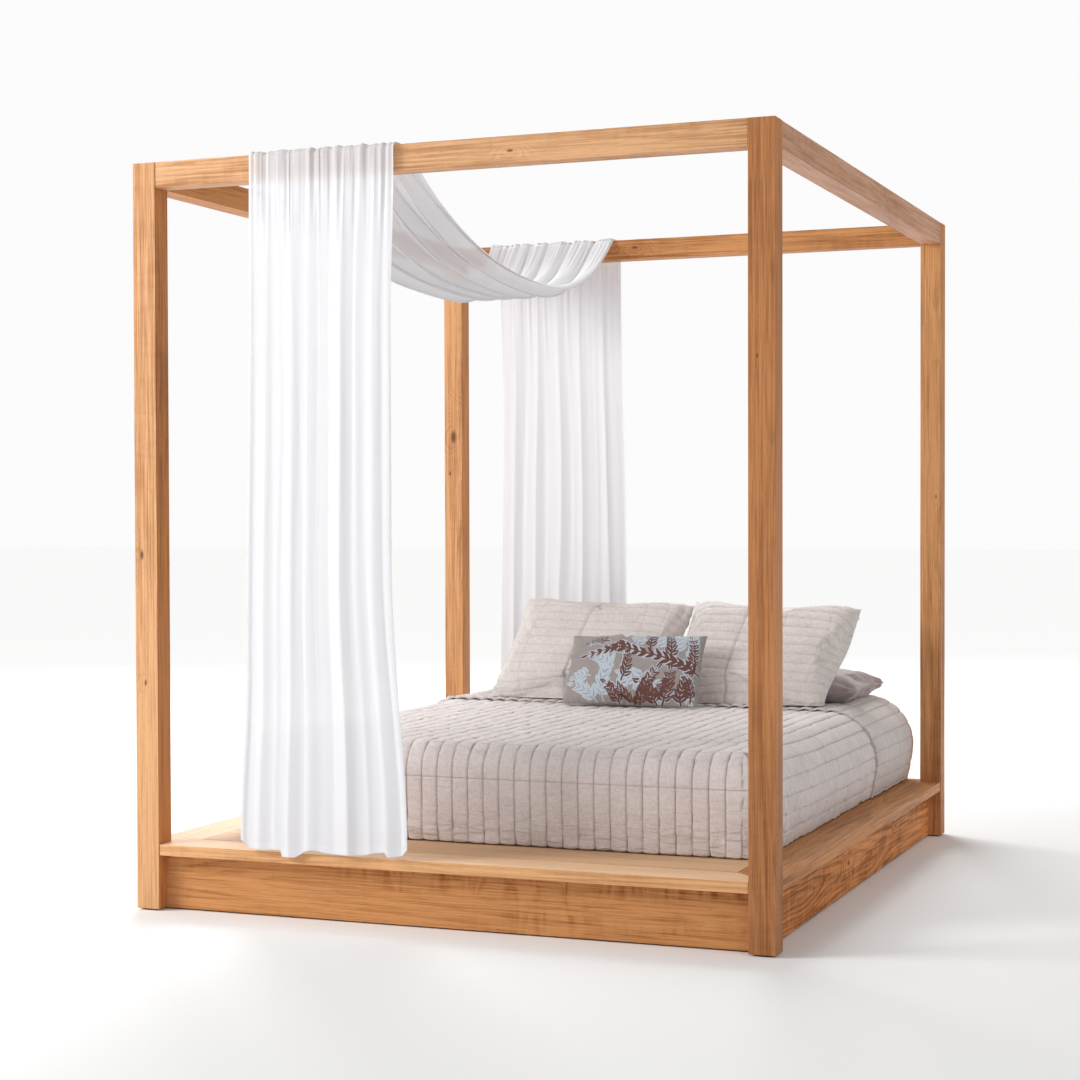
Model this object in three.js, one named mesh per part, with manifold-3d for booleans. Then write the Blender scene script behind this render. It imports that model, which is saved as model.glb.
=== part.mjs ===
// Four poster canopy bed in solid teak, with its mattress, bedding and a draped scarf curtain.
// Millimetres, +X to the right as seen from the foot, +Y toward the head, +Z up.
// The origin is on the floor, under the centre of the frame.

import * as THREE from 'three';
import { RoundedBoxGeometry } from 'three/addons/geometries/RoundedBoxGeometry.js';
import { mergeVertices } from 'three/addons/utils/BufferGeometryUtils.js';
import Module from 'manifold-3d';

const wasm = await Module();
wasm.setup();

// ---------------------------------------------------------------- driving dimensions

const FRAME_WIDTH = 1896;
const FRAME_LENGTH = 2380;
const FRAME_HEIGHT = 2160;
const POST = 73; // side of a square post
const REVEAL = 2; // rails and ledges stand back this far from the post faces
const RAIL_HEIGHT = 73;

const LEDGE_TOP = 192;
const LEDGE_THICKNESS = 32;
const LEDGE_WIDTH = 139; // from the post's outer face to the inner edge of the ledge
const APRON_SETBACK = 44;
const APRON_THICKNESS = 25;
const GLIDE = { side: 50, thickness: 3 };

const PLANK_COUNT = 10;
const PLANK_GAP = 5;
const CLEAT = { width: 40, height: 45 };
const BEAM = { width: 70, height: 95 };
const LEG_SIDE = 70;

const DOWEL = { radius: 6, reach: 44 }; // reach into the post and into the rail
const BORE_CLEARANCE = 0.4;
const BAR_SIDES = 12;
const CORNER_BLOCK = { side: 60, lift: 12 };

const MATTRESS = { width: 1600, length: 2000, height: 262, corner: 72 };
const FOOT_STEP = 357; // clear ledge between the foot face and the mattress
const QUILT = { side: 18, top: 24, corner: 90, hemLift: 4 };
const TURN_DOWN = { thickness: 9, start: 1750, hemLift: 4 };

const CURTAIN = {
  hem: 200, // height of both hems above the floor
  shoulder: 40, // below the rail's top, where the gathers start to spread
  dropThickness: 24,
  overRail: 8,
  sagLow: 282,
  sagHigh: 240,
};

const GAP = 0.5; // working gap between neighbouring pieces
const WELD = 1e-3; // points closer than this are one

const halfWidth = FRAME_WIDTH / 2;
const halfLength = FRAME_LENGTH / 2;
const innerX = halfWidth - POST;
const innerY = halfLength - POST;
const deckX = halfWidth - LEDGE_WIDTH;
const deckY = halfLength - LEDGE_WIDTH;
const ledgeUnderside = LEDGE_TOP - LEDGE_THICKNESS;
const beddingTop = LEDGE_TOP + GAP + MATTRESS.height + GAP + QUILT.top + GAP + TURN_DOWN.thickness;

// ---------------------------------------------------------------- materials

const material = (color, roughness, metalness = 0) =>
  new THREE.MeshStandardMaterial({ color, roughness, metalness });

const teak = material(0xc48a55, 0.55);
const teakDeck = material(0xcf9c68, 0.6);
const hardwood = material(0xb58a5c, 0.7);
const steel = material(0x9a9a98, 0.35, 1);
const felt = material(0x5a4636, 0.95);
const ticking = material(0xe6e0d6, 0.9);
const linen = material(0xb9ada5, 0.92);
const satin = material(0x8f8382, 0.55);
const print = material(0x8c8480, 0.8);
const voile = material(0xf2f1f3, 0.85);

// ---------------------------------------------------------------- helpers

function bakedMesh(name, geometry, meshMaterial) {
  const mesh = new THREE.Mesh(geometry, meshMaterial);
  mesh.name = name;
  return mesh;
}

// A box given by its lowest corner and its size.
function boxGeometry(x, y, z, width, length, height) {
  const box = new THREE.BoxGeometry(width, length, height);
  box.translate(x + width / 2, y + length / 2, z + height / 2);
  return box;
}

function boxMesh(name, corner, size, meshMaterial) {
  return bakedMesh(name, boxGeometry(...corner, ...size), meshMaterial);
}

function toManifold(geometry) {
  const bare = geometry.clone();
  bare.deleteAttribute('normal');
  bare.deleteAttribute('uv');
  const merged = mergeVertices(bare, WELD);
  const vertProperties = new Float32Array(merged.attributes.position.array);
  const triVerts = new Uint32Array(merged.index.array);
  return new wasm.Manifold(new wasm.Mesh({ numProp: 3, vertProperties, triVerts }));
}

function fromManifold(solid) {
  const { vertProperties, triVerts } = solid.getMesh();
  const geometry = new THREE.BufferGeometry();
  geometry.setAttribute('position', new THREE.Float32BufferAttribute(vertProperties, 3));
  geometry.setIndex(new THREE.Uint32BufferAttribute(triVerts, 1));
  return geometry;
}

function subtract(base, tools) {
  return fromManifold(tools.reduce((solid, tool) => solid.subtract(toManifold(tool)), toManifold(base)));
}

// A round bar between two points.
function barGeometry(from, to, radius) {
  const axis = new THREE.Vector3().subVectors(to, from);
  const bar = new THREE.CylinderGeometry(radius, radius, axis.length(), BAR_SIDES);
  const along = axis.clone().normalize();
  bar.applyQuaternion(new THREE.Quaternion().setFromUnitVectors(new THREE.Vector3(0, 1, 0), along));
  const middle = from.clone().add(to).multiplyScalar(0.5);
  bar.translate(middle.x, middle.y, middle.z);
  return bar;
}

// A flat board with the given outline, lying between two heights.
function boardGeometry(outline, bottom, thickness) {
  const shape = new THREE.Shape(outline.map(([x, y]) => new THREE.Vector2(x, y)));
  const board = new THREE.ExtrudeGeometry(shape, { depth: thickness, bevelEnabled: false });
  board.translate(0, 0, bottom);
  return board;
}

// ---------------------------------------------------------------- posts, rails and their dowels

const corners = [
  { name: 'front_left', sx: -1, sy: -1 },
  { name: 'front_right', sx: 1, sy: -1 },
  { name: 'rear_left', sx: -1, sy: 1 },
  { name: 'rear_right', sx: 1, sy: 1 },
];

const postCentre = ({ sx, sy }) => [sx * (halfWidth - POST / 2), sy * (halfLength - POST / 2)];

// Each post takes two dowels, one from each rail, one above the other so that they miss.
const crossDowelZ = FRAME_HEIGHT - RAIL_HEIGHT / 3;
const sideDowelZ = FRAME_HEIGHT - (2 * RAIL_HEIGHT) / 3;

function dowelEnds(corner, alongX, extra = 0) {
  const [cx, cy] = postCentre(corner);
  const reach = DOWEL.reach + extra;
  if (alongX) {
    const joint = corner.sx * innerX;
    return [
      new THREE.Vector3(joint - reach, cy, crossDowelZ),
      new THREE.Vector3(joint + reach, cy, crossDowelZ),
    ];
  }
  const joint = corner.sy * innerY;
  return [
    new THREE.Vector3(cx, joint - reach, sideDowelZ),
    new THREE.Vector3(cx, joint + reach, sideDowelZ),
  ];
}

const dowelBore = (corner, alongX) =>
  barGeometry(...dowelEnds(corner, alongX, 1), DOWEL.radius + BORE_CLEARANCE);

function post(corner) {
  const [cx, cy] = postCentre(corner);
  const bottom = GLIDE.thickness + GAP;
  const timber = boxGeometry(cx - POST / 2, cy - POST / 2, bottom, POST, POST, FRAME_HEIGHT - bottom);
  const bored = subtract(timber, [dowelBore(corner, true), dowelBore(corner, false)]);
  return bakedMesh(`post_${corner.name}`, bored, teak);
}

function dowel(corner, alongX) {
  const rail = alongX ? corner.name : `${corner.name}_side`;
  return bakedMesh(`rail_dowel_${rail}`, barGeometry(...dowelEnds(corner, alongX), DOWEL.radius), steel);
}

function crossRail(name, sy) {
  const ends = corners.filter((corner) => corner.sy === sy);
  const depth = POST - 2 * REVEAL;
  const y = sy * (halfLength - POST / 2) - depth / 2;
  const timber = boxGeometry(
    -innerX + GAP, y, FRAME_HEIGHT - RAIL_HEIGHT, 2 * (innerX - GAP), depth, RAIL_HEIGHT);
  return bakedMesh(name, subtract(timber, ends.map((corner) => dowelBore(corner, true))), teak);
}

function sideRail(name, sx) {
  const ends = corners.filter((corner) => corner.sx === sx);
  const depth = POST - 2 * REVEAL;
  const x = sx * (halfWidth - POST / 2) - depth / 2;
  const timber = boxGeometry(
    x, -innerY + GAP, FRAME_HEIGHT - RAIL_HEIGHT, depth, 2 * (innerY - GAP), RAIL_HEIGHT);
  return bakedMesh(name, subtract(timber, ends.map((corner) => dowelBore(corner, false))), teak);
}

function glide(corner) {
  const [cx, cy] = postCentre(corner);
  const { side, thickness } = GLIDE;
  return boxMesh(
    `floor_glide_${corner.name}`, [cx - side / 2, cy - side / 2, 0], [side, side, thickness], felt);
}

// ---------------------------------------------------------------- platform

// Ledge boards meet in mitres that run from a post's inner corner to the corner of the deck.
function crossLedge(name, sy) {
  const outer = sy * (halfLength - REVEAL);
  const heel = sy * (innerY - GAP);
  const inner = sy * (deckY + GAP);
  const outline = [
    [-innerX + GAP, outer],
    [innerX - GAP, outer],
    [innerX - GAP, heel],
    [deckX - GAP, inner],
    [-deckX + GAP, inner],
    [-innerX + GAP, heel],
  ];
  return bakedMesh(name, boardGeometry(outline, ledgeUnderside, LEDGE_THICKNESS), teak);
}

function sideLedge(name, sx) {
  const outer = sx * (halfWidth - REVEAL);
  const heel = sx * (innerX + GAP);
  const inner = sx * (deckX + GAP);
  const outline = [
    [outer, -innerY + GAP],
    [outer, innerY - GAP],
    [heel, innerY - GAP],
    [inner, deckY - GAP],
    [inner, -deckY + GAP],
    [heel, -innerY + GAP],
  ];
  return bakedMesh(name, boardGeometry(outline, ledgeUnderside, LEDGE_THICKNESS), teak);
}

const apronBottom = GLIDE.thickness;
const apronHeight = ledgeUnderside - GAP - apronBottom;

function crossApron(name, sy) {
  const face = sy * (halfLength - APRON_SETBACK);
  const y = Math.min(face, face - sy * APRON_THICKNESS);
  return boxMesh(
    name, [-innerX + GAP, y, apronBottom], [2 * (innerX - GAP), APRON_THICKNESS, apronHeight], teak);
}

function sideApron(name, sx) {
  const face = sx * (halfWidth - APRON_SETBACK);
  const x = Math.min(face, face - sx * APRON_THICKNESS);
  return boxMesh(
    name, [x, -innerY + GAP, apronBottom], [APRON_THICKNESS, 2 * (innerY - GAP), apronHeight], teak);
}

// Planks lie across the bed inside the ledge frame, their tops level with it.
const plankPitch = (2 * deckY) / PLANK_COUNT;

function plank(index) {
  const y = -deckY + index * plankPitch + PLANK_GAP / 2;
  return boxMesh(
    `deck_plank_${String(index + 1).padStart(2, '0')}`,
    [-deckX + GAP * 2, y, ledgeUnderside],
    [2 * (deckX - GAP * 2), plankPitch - PLANK_GAP, LEDGE_THICKNESS],
    teakDeck);
}

// Cleats run under the joint between the planks and the ledge boards and carry both.
const cleatTop = ledgeUnderside - GAP;

function crossCleat(name, sy) {
  const inner = sy * (deckY - CLEAT.width);
  const y = Math.min(inner, inner + sy * 2 * CLEAT.width);
  const run = deckX - CLEAT.width - GAP;
  const size = [2 * run, 2 * CLEAT.width, CLEAT.height];
  return boxMesh(name, [-run, y, cleatTop - CLEAT.height], size, hardwood);
}

function sideCleat(name, sx) {
  const inner = sx * (deckX - CLEAT.width);
  const x = Math.min(inner, inner + sx * 2 * CLEAT.width);
  const run = deckY + CLEAT.width;
  const size = [2 * CLEAT.width, 2 * run, CLEAT.height];
  return boxMesh(name, [x, -run, cleatTop - CLEAT.height], size, hardwood);
}

function centreBeam() {
  const run = deckY - CLEAT.width - GAP;
  return boxMesh(
    'centre_beam',
    [-BEAM.width / 2, -run, cleatTop - BEAM.height],
    [BEAM.width, 2 * run, BEAM.height],
    hardwood);
}

function centreLeg(name, y) {
  const height = cleatTop - BEAM.height - GAP;
  return boxMesh(name, [-LEG_SIDE / 2, y - LEG_SIDE / 2, 0], [LEG_SIDE, LEG_SIDE, height], hardwood);
}

// Glue blocks brace each corner, behind the post and between the two aprons.
function cornerBlock({ name, sx, sy }) {
  const { side, lift } = CORNER_BLOCK;
  const cornerX = sx * (innerX - GAP);
  const cornerY = sy * (innerY - GAP);
  const outline = [
    [cornerX, cornerY],
    [cornerX - sx * side, cornerY],
    [cornerX, cornerY - sy * side],
  ];
  const bottom = GLIDE.thickness + lift;
  const top = cleatTop - CLEAT.height - 2 * GAP;
  return bakedMesh(`corner_block_${name}`, boardGeometry(outline, bottom, top - bottom), hardwood);
}

// ---------------------------------------------------------------- mattress and quilt

const mattressMinY = -halfLength + FOOT_STEP;
const mattressMidY = mattressMinY + MATTRESS.length / 2;
const mattressBottom = LEDGE_TOP + GAP;
const mattressTop = mattressBottom + MATTRESS.height;

function mattress() {
  const { width, length, height, corner } = MATTRESS;
  const block = new RoundedBoxGeometry(width, length, height, 3, corner);
  block.translate(0, mattressMidY, mattressBottom + height / 2);
  return bakedMesh('mattress', fromManifold(toManifold(block)), ticking);
}

// The rounded block of everything under a cover whose outside lies at the given offsets
// from the mattress. It runs on past the head and below the deck, to be trimmed.
function coveredBlock(sideOffset, topOffset, corner) {
  const overrun = 400;
  const width = MATTRESS.width + 2 * sideOffset;
  const length = MATTRESS.length + sideOffset + overrun;
  const height = MATTRESS.height + topOffset + overrun;
  const block = new RoundedBoxGeometry(width, length, height, 4, corner);
  block.translate(0, mattressMinY - sideOffset + length / 2, mattressTop + topOffset - height / 2);
  return toManifold(block);
}

function coverMesh(name, outside, inside, startY, hemZ) {
  const headEnd = mattressMinY + MATTRESS.length;
  const keep = boxGeometry(-halfWidth, startY, hemZ, FRAME_WIDTH, headEnd - startY, FRAME_HEIGHT);
  const shell = outside.subtract(inside).intersect(toManifold(keep));
  return bakedMesh(name, fromManifold(shell), linen);
}

function quilt() {
  const outside = coveredBlock(QUILT.side + GAP, QUILT.top + GAP, QUILT.corner);
  const inside = coveredBlock(GAP, GAP, MATTRESS.corner);
  return coverMesh('quilt', outside, inside, -halfLength, LEDGE_TOP + QUILT.hemLift);
}

// The head end of the quilt, folded back over itself.
function quiltTurnDown() {
  const under = QUILT.side + 2 * GAP;
  const underTop = QUILT.top + 2 * GAP;
  const outside = coveredBlock(
    under + TURN_DOWN.thickness, underTop + TURN_DOWN.thickness, QUILT.corner + TURN_DOWN.thickness);
  const inside = coveredBlock(under, underTop, QUILT.corner);
  return coverMesh(
    'quilt_turn_down', outside, inside, -halfLength + TURN_DOWN.start, LEDGE_TOP + TURN_DOWN.hemLift);
}

// ---------------------------------------------------------------- pillows and cushions

// A pillow: two crowned faces that meet in a seam, with sides that pull in between the corners.
function pillowGeometry(width, height, thickness) {
  const columns = 12;
  const rows = 10;
  const pullIn = 0.045;
  const crownPower = 0.7;
  const edgePower = 2.6;
  const positions = [];
  const indices = [];
  const vertexAt = (u, v, side) => {
    const crown = (1 - Math.abs(u) ** edgePower) * (1 - Math.abs(v) ** edgePower);
    const x = (width / 2) * u * (1 - pullIn * (1 - v * v));
    const y = (height / 2) * v * (1 - pullIn * (1 - u * u));
    return [x, y, side * (thickness / 2) * Math.max(crown, 0) ** crownPower];
  };
  for (const side of [1, -1]) {
    const offset = positions.length / 3;
    for (let row = 0; row <= rows; row += 1) {
      for (let column = 0; column <= columns; column += 1) {
        positions.push(...vertexAt((2 * column) / columns - 1, (2 * row) / rows - 1, side));
      }
    }
    for (let row = 0; row < rows; row += 1) {
      for (let column = 0; column < columns; column += 1) {
        const a = offset + row * (columns + 1) + column;
        const b = a + 1;
        const c = b + columns + 1;
        const d = a + columns + 1;
        indices.push(...(side > 0 ? [a, b, c, a, c, d] : [a, c, b, a, d, c]));
      }
    }
  }
  const geometry = new THREE.BufferGeometry();
  geometry.setAttribute('position', new THREE.Float32BufferAttribute(positions, 3));
  geometry.setIndex(indices);
  return mergeVertices(geometry, WELD);
}

// lean is the angle of the cushion's face to the floor, roll its turn within that face.
// The cushion is lowered until it touches the bedding.
function cushion(name, size, [x, y], lean, roll, cushionMaterial) {
  const mesh = bakedMesh(name, pillowGeometry(...size), cushionMaterial);
  mesh.rotation.set(THREE.MathUtils.degToRad(lean), 0, THREE.MathUtils.degToRad(roll));
  mesh.updateMatrixWorld();
  const lowest = new THREE.Box3().setFromObject(mesh, true).min.z;
  mesh.position.set(x, y, beddingTop + GAP - lowest);
  return mesh;
}

const SLEEPING_PILLOW = [650, 430, 112];
const SHAM = [620, 490, 140];
const ACCENT = [484, 276, 110];

function cushions() {
  return [
    cushion('pillow_left', SLEEPING_PILLOW, [-250, 952], 0, 0, satin),
    cushion('pillow_right', SLEEPING_PILLOW, [412, 952], 0, 0, satin),
    cushion('sham_left', SHAM, [-226, 768], 43, -2, linen),
    cushion('sham_right', SHAM, [398, 768], 43, -2, linen),
    cushion('accent_cushion', ACCENT, [8, 527], 58, 1, print),
  ];
}

// ---------------------------------------------------------------- curtain

// A ribbon of cloth lofted through sections across its width. Each section has an under
// point and an outer point in the (y, z) plane, and its left and right edges in x.
function ribbonGeometry(sections) {
  const positions = [];
  const indices = [];
  for (const { under, outer, left, right } of sections) {
    positions.push(left, ...under, right, ...under, right, ...outer, left, ...outer);
  }
  const quad = (a, b, c, d) => indices.push(a, b, c, a, c, d);
  for (let section = 0; section + 1 < sections.length; section += 1) {
    const near = section * 4;
    const far = near + 4;
    for (let edge = 0; edge < 4; edge += 1) {
      const next = (edge + 1) % 4;
      quad(near + edge, far + edge, far + next, near + next);
    }
  }
  const last = (sections.length - 1) * 4;
  quad(0, 1, 2, 3);
  quad(last + 3, last + 2, last + 1, last);
  const geometry = new THREE.BufferGeometry();
  geometry.setAttribute('position', new THREE.Float32BufferAttribute(positions, 3));
  geometry.setIndex(indices);
  return geometry;
}

// The scarf rises outside the foot rail, goes over it, sags under the canopy and falls
// outside the head rail.
function curtain() {
  const steps = 12;
  const footEdges = { hem: [-599, -82], rail: [-563, -114] };
  const headEdges = { hem: [-760, -240], rail: [-749, -273] };
  const inside = halfLength + 2 * GAP;
  const outside = inside + CURTAIN.dropThickness;
  const railBack = halfLength - POST + REVEAL - 2 * GAP;
  const railTop = FRAME_HEIGHT + 2 * GAP;
  const shoulder = railTop - CURTAIN.shoulder;
  const clothTop = railTop + CURTAIN.overRail;
  const section = (under, outer, [left, right]) => ({ under, outer, left, right });
  const drop = (sy, edges) => [
    section([sy * inside, CURTAIN.hem], [sy * outside, CURTAIN.hem], edges.hem),
    section([sy * inside, shoulder], [sy * outside, shoulder], edges.rail),
    section([sy * inside, railTop], [sy * (inside + CURTAIN.overRail), clothTop], edges.rail),
    section([sy * railBack, railTop], [sy * railBack, clothTop], edges.rail),
  ];
  const swag = [];
  for (let step = 1; step < steps; step += 1) {
    const t = step / steps;
    const y = THREE.MathUtils.lerp(-railBack, railBack, t);
    const sag = 4 * t * (1 - t);
    const left = THREE.MathUtils.lerp(footEdges.rail[0], headEdges.rail[0], t);
    const right = THREE.MathUtils.lerp(footEdges.rail[1], headEdges.rail[1], t);
    const low = [y, railTop - CURTAIN.sagLow * sag];
    swag.push(section(low, [y, clothTop - CURTAIN.sagHigh * sag], [left, right]));
  }
  const sections = [...drop(-1, footEdges), ...swag, ...drop(1, headEdges).reverse()];
  return bakedMesh('scarf_curtain', ribbonGeometry(sections), voile);
}

// ---------------------------------------------------------------- assembly

const bed = new THREE.Group();
bed.name = 'four_poster_canopy_bed';

const frame = new THREE.Group();
for (const corner of corners) {
  frame.add(post(corner), glide(corner), cornerBlock(corner));
  frame.add(dowel(corner, true), dowel(corner, false));
}
frame.add(crossRail('top_rail_foot', -1), crossRail('top_rail_head', 1));
frame.add(sideRail('top_rail_left', -1), sideRail('top_rail_right', 1));

const platform = new THREE.Group();
platform.add(crossLedge('ledge_board_foot', -1), crossLedge('ledge_board_head', 1));
platform.add(sideLedge('ledge_board_left', -1), sideLedge('ledge_board_right', 1));
platform.add(crossApron('apron_foot', -1), crossApron('apron_head', 1));
platform.add(sideApron('apron_left', -1), sideApron('apron_right', 1));
platform.add(crossCleat('cleat_foot', -1), crossCleat('cleat_head', 1));
platform.add(sideCleat('cleat_left', -1), sideCleat('cleat_right', 1));
platform.add(centreBeam(), centreLeg('centre_leg_foot', -deckY / 2), centreLeg('centre_leg_head', deckY / 2));
for (let index = 0; index < PLANK_COUNT; index += 1) platform.add(plank(index));

const bedding = new THREE.Group();
bedding.add(mattress(), quilt(), quiltTurnDown(), ...cushions());

bed.add(frame, platform, bedding, curtain());

export default bed;
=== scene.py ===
"""The looks of a four poster canopy bed in teak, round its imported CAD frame.

Metres, in the row frame: +X to the right as seen from the foot, +Y toward the head, +Z up,
with the origin on the floor under the centre of the frame.
"""

import math

import bpy
import numpy as np
from mathutils import Matrix, Vector


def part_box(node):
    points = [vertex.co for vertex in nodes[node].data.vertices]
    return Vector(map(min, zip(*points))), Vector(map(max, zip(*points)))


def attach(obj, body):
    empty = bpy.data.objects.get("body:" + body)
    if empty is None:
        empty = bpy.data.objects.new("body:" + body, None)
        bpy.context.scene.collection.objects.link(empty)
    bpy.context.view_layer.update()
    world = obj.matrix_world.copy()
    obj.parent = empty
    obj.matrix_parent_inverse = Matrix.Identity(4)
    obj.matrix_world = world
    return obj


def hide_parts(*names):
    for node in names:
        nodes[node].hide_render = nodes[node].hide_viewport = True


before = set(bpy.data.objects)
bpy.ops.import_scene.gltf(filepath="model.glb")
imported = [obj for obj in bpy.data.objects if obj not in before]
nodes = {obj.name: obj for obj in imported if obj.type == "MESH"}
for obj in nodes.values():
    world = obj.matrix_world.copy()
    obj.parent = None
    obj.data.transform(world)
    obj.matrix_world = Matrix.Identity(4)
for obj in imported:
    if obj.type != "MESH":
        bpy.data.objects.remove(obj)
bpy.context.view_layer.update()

scene = bpy.context.scene

# ---------------------------------------------------------------- numbers of the object

rail_low, rail_high = (np.array(v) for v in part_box("top_rail_foot"))
head_rail_low, head_rail_high = (np.array(v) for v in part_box("top_rail_head"))
mattress_low, mattress_high = (np.array(v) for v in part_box("mattress"))
quilt_low, quilt_high = (np.array(v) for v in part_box("quilt"))
fold_low, fold_high = (np.array(v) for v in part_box("quilt_turn_down"))

CHANNEL = 0.048  # width of one quilted channel
SHOULDER_X = 0.155  # how far the quilt's side shoulder reaches out, and down
SHOULDER_Z = 0.170
FOOT_SHOULDER_Y = 0.075
FOOT_SHOULDER_Z = 0.085
SIDE_BULGE = {1: 0.016, -1: -0.008}  # how far each side's widest line stands beyond the CAD face
HEM_TUCK = 0.022


# ---------------------------------------------------------------- numeric tools


def hashed(i, j, seed):
    n = (i * 374761393 + j * 668265263 + seed * 1442695041) & 0xFFFFFFFF
    n = ((n ^ (n >> 13)) * 1274126177) & 0xFFFFFFFF
    return ((n ^ (n >> 16)) & 0xFFFF) / 65535.0


def noise2(x, y, seed):
    """Smooth value noise from -1 to 1, with cells of one unit."""
    x, y = np.broadcast_arrays(np.asarray(x, float), np.asarray(y, float))
    xi, yi = np.floor(x).astype(np.int64), np.floor(y).astype(np.int64)
    fx, fy = x - xi, y - yi
    fx, fy = fx * fx * (3 - 2 * fx), fy * fy * (3 - 2 * fy)
    low = hashed(xi, yi, seed) * (1 - fx) + hashed(xi + 1, yi, seed) * fx
    high = hashed(xi, yi + 1, seed) * (1 - fx) + hashed(xi + 1, yi + 1, seed) * fx
    return 2 * (low * (1 - fy) + high * fy) - 1


def fbm(x, y, seed, octaves=3):
    total = sum(noise2(x * 2**k, y * 2**k, seed + 17 * k) / 2**k for k in range(octaves))
    return total / 1.75


def smoothstep(low, high, x):
    t = np.clip((np.asarray(x, float) - low) / (high - low), 0, 1)
    return t * t * (3 - 2 * t)


def lerp(a, b, t):
    return a + (b - a) * t


def grid_normals(points):
    du = np.gradient(points, axis=0)
    dv = np.gradient(points, axis=1)
    n = np.cross(dv, du)
    return n / np.maximum(np.linalg.norm(n, axis=2, keepdims=True), 1e-12)


def grid_faces(rows, columns, offset=0):
    a = (np.arange(rows - 1)[:, None] * columns + np.arange(columns - 1)[None, :]).ravel() + offset
    return np.stack([a, a + 1, a + columns + 1, a + columns], axis=1)


# ---------------------------------------------------------------- mesh tools


def mesh_object(name, points, faces, uv=None, values=None):
    points = np.asarray(points, np.float32).reshape(-1, 3)
    faces = np.asarray(faces, np.int32)
    mesh = bpy.data.meshes.new(name)
    mesh.vertices.add(len(points))
    mesh.vertices.foreach_set("co", points.ravel())
    mesh.loops.add(faces.size)
    mesh.loops.foreach_set("vertex_index", faces.ravel())
    mesh.polygons.add(len(faces))
    mesh.polygons.foreach_set("loop_start", np.arange(0, faces.size, faces.shape[1], dtype=np.int32))
    mesh.update(calc_edges=True)
    if uv is not None:
        layer = mesh.uv_layers.new(name="cloth")
        layer.data.foreach_set("uv", np.asarray(uv, np.float32).reshape(-1, 2)[faces.ravel()].ravel())
    for key, value in (values or {}).items():
        attribute = mesh.attributes.new(key, "FLOAT", "POINT")
        attribute.data.foreach_set("value", np.asarray(value, np.float32).ravel())
    mesh.shade_smooth()
    obj = bpy.data.objects.new(name, mesh)
    scene.collection.objects.link(obj)
    return obj


def ring_of(rows, columns):
    """The vertex numbers round the edge of a grid, in order."""
    index = np.arange(rows * columns).reshape(rows, columns)
    return np.concatenate([index[0, :], index[1:, -1], index[-1, -2::-1], index[-2:0:-1, 0]])


def rimmed_sheet(name, points, normals, uv, thickness, values=None):
    """A sheet whose edge turns in by its thickness, so that it shows as a filled hem."""
    rows, columns = points.shape[:2]
    ring = ring_of(rows, columns)
    flat_points, flat_normals = points.reshape(-1, 3), normals.reshape(-1, 3)
    uv = np.asarray(uv).reshape(-1, 2)
    centre = flat_points.mean(0)
    inward = centre - flat_points[ring]
    inward /= np.linalg.norm(inward, axis=1, keepdims=True)
    layers = [flat_points]
    layer_uv = [uv]
    faces = [grid_faces(rows, columns)]
    previous, count = ring, len(flat_points)
    extra = {key: [np.asarray(value).ravel()] for key, value in (values or {}).items()}
    for depth, tuck in ((0.35, -0.12), (0.75, 0.0), (1.0, 0.5), (1.0, 1.6)):
        layers.append(
            flat_points[ring] - flat_normals[ring] * thickness * depth + inward * thickness * tuck
        )
        layer_uv.append(uv[ring])
        for key in extra:
            extra[key].append(extra[key][0][ring])
        current = np.arange(count, count + len(ring))
        faces.append(
            np.stack([previous, current, np.roll(current, -1), np.roll(previous, -1)], axis=1)
        )
        previous, count = current, count + len(ring)
    made = {key: np.concatenate(value) for key, value in extra.items()}
    return mesh_object(name, np.concatenate(layers), np.concatenate(faces), np.concatenate(layer_uv), made)


def dress(obj, material, body, slot, *stands_for):
    obj.data.materials.clear()
    obj.data.materials.append(material)
    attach(obj, body)
    if stands_for:
        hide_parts(*stands_for)
    return obj


# ---------------------------------------------------------------- shader tools


def linear(r, g, b):
    """A colour written in 0 to 255 sRGB, as the linear colour a shader takes."""
    def channel(c):
        c /= 255
        return c / 12.92 if c <= 0.04045 else ((c + 0.055) / 1.055) ** 2.4

    return (channel(r), channel(g), channel(b), 1.0)


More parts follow.
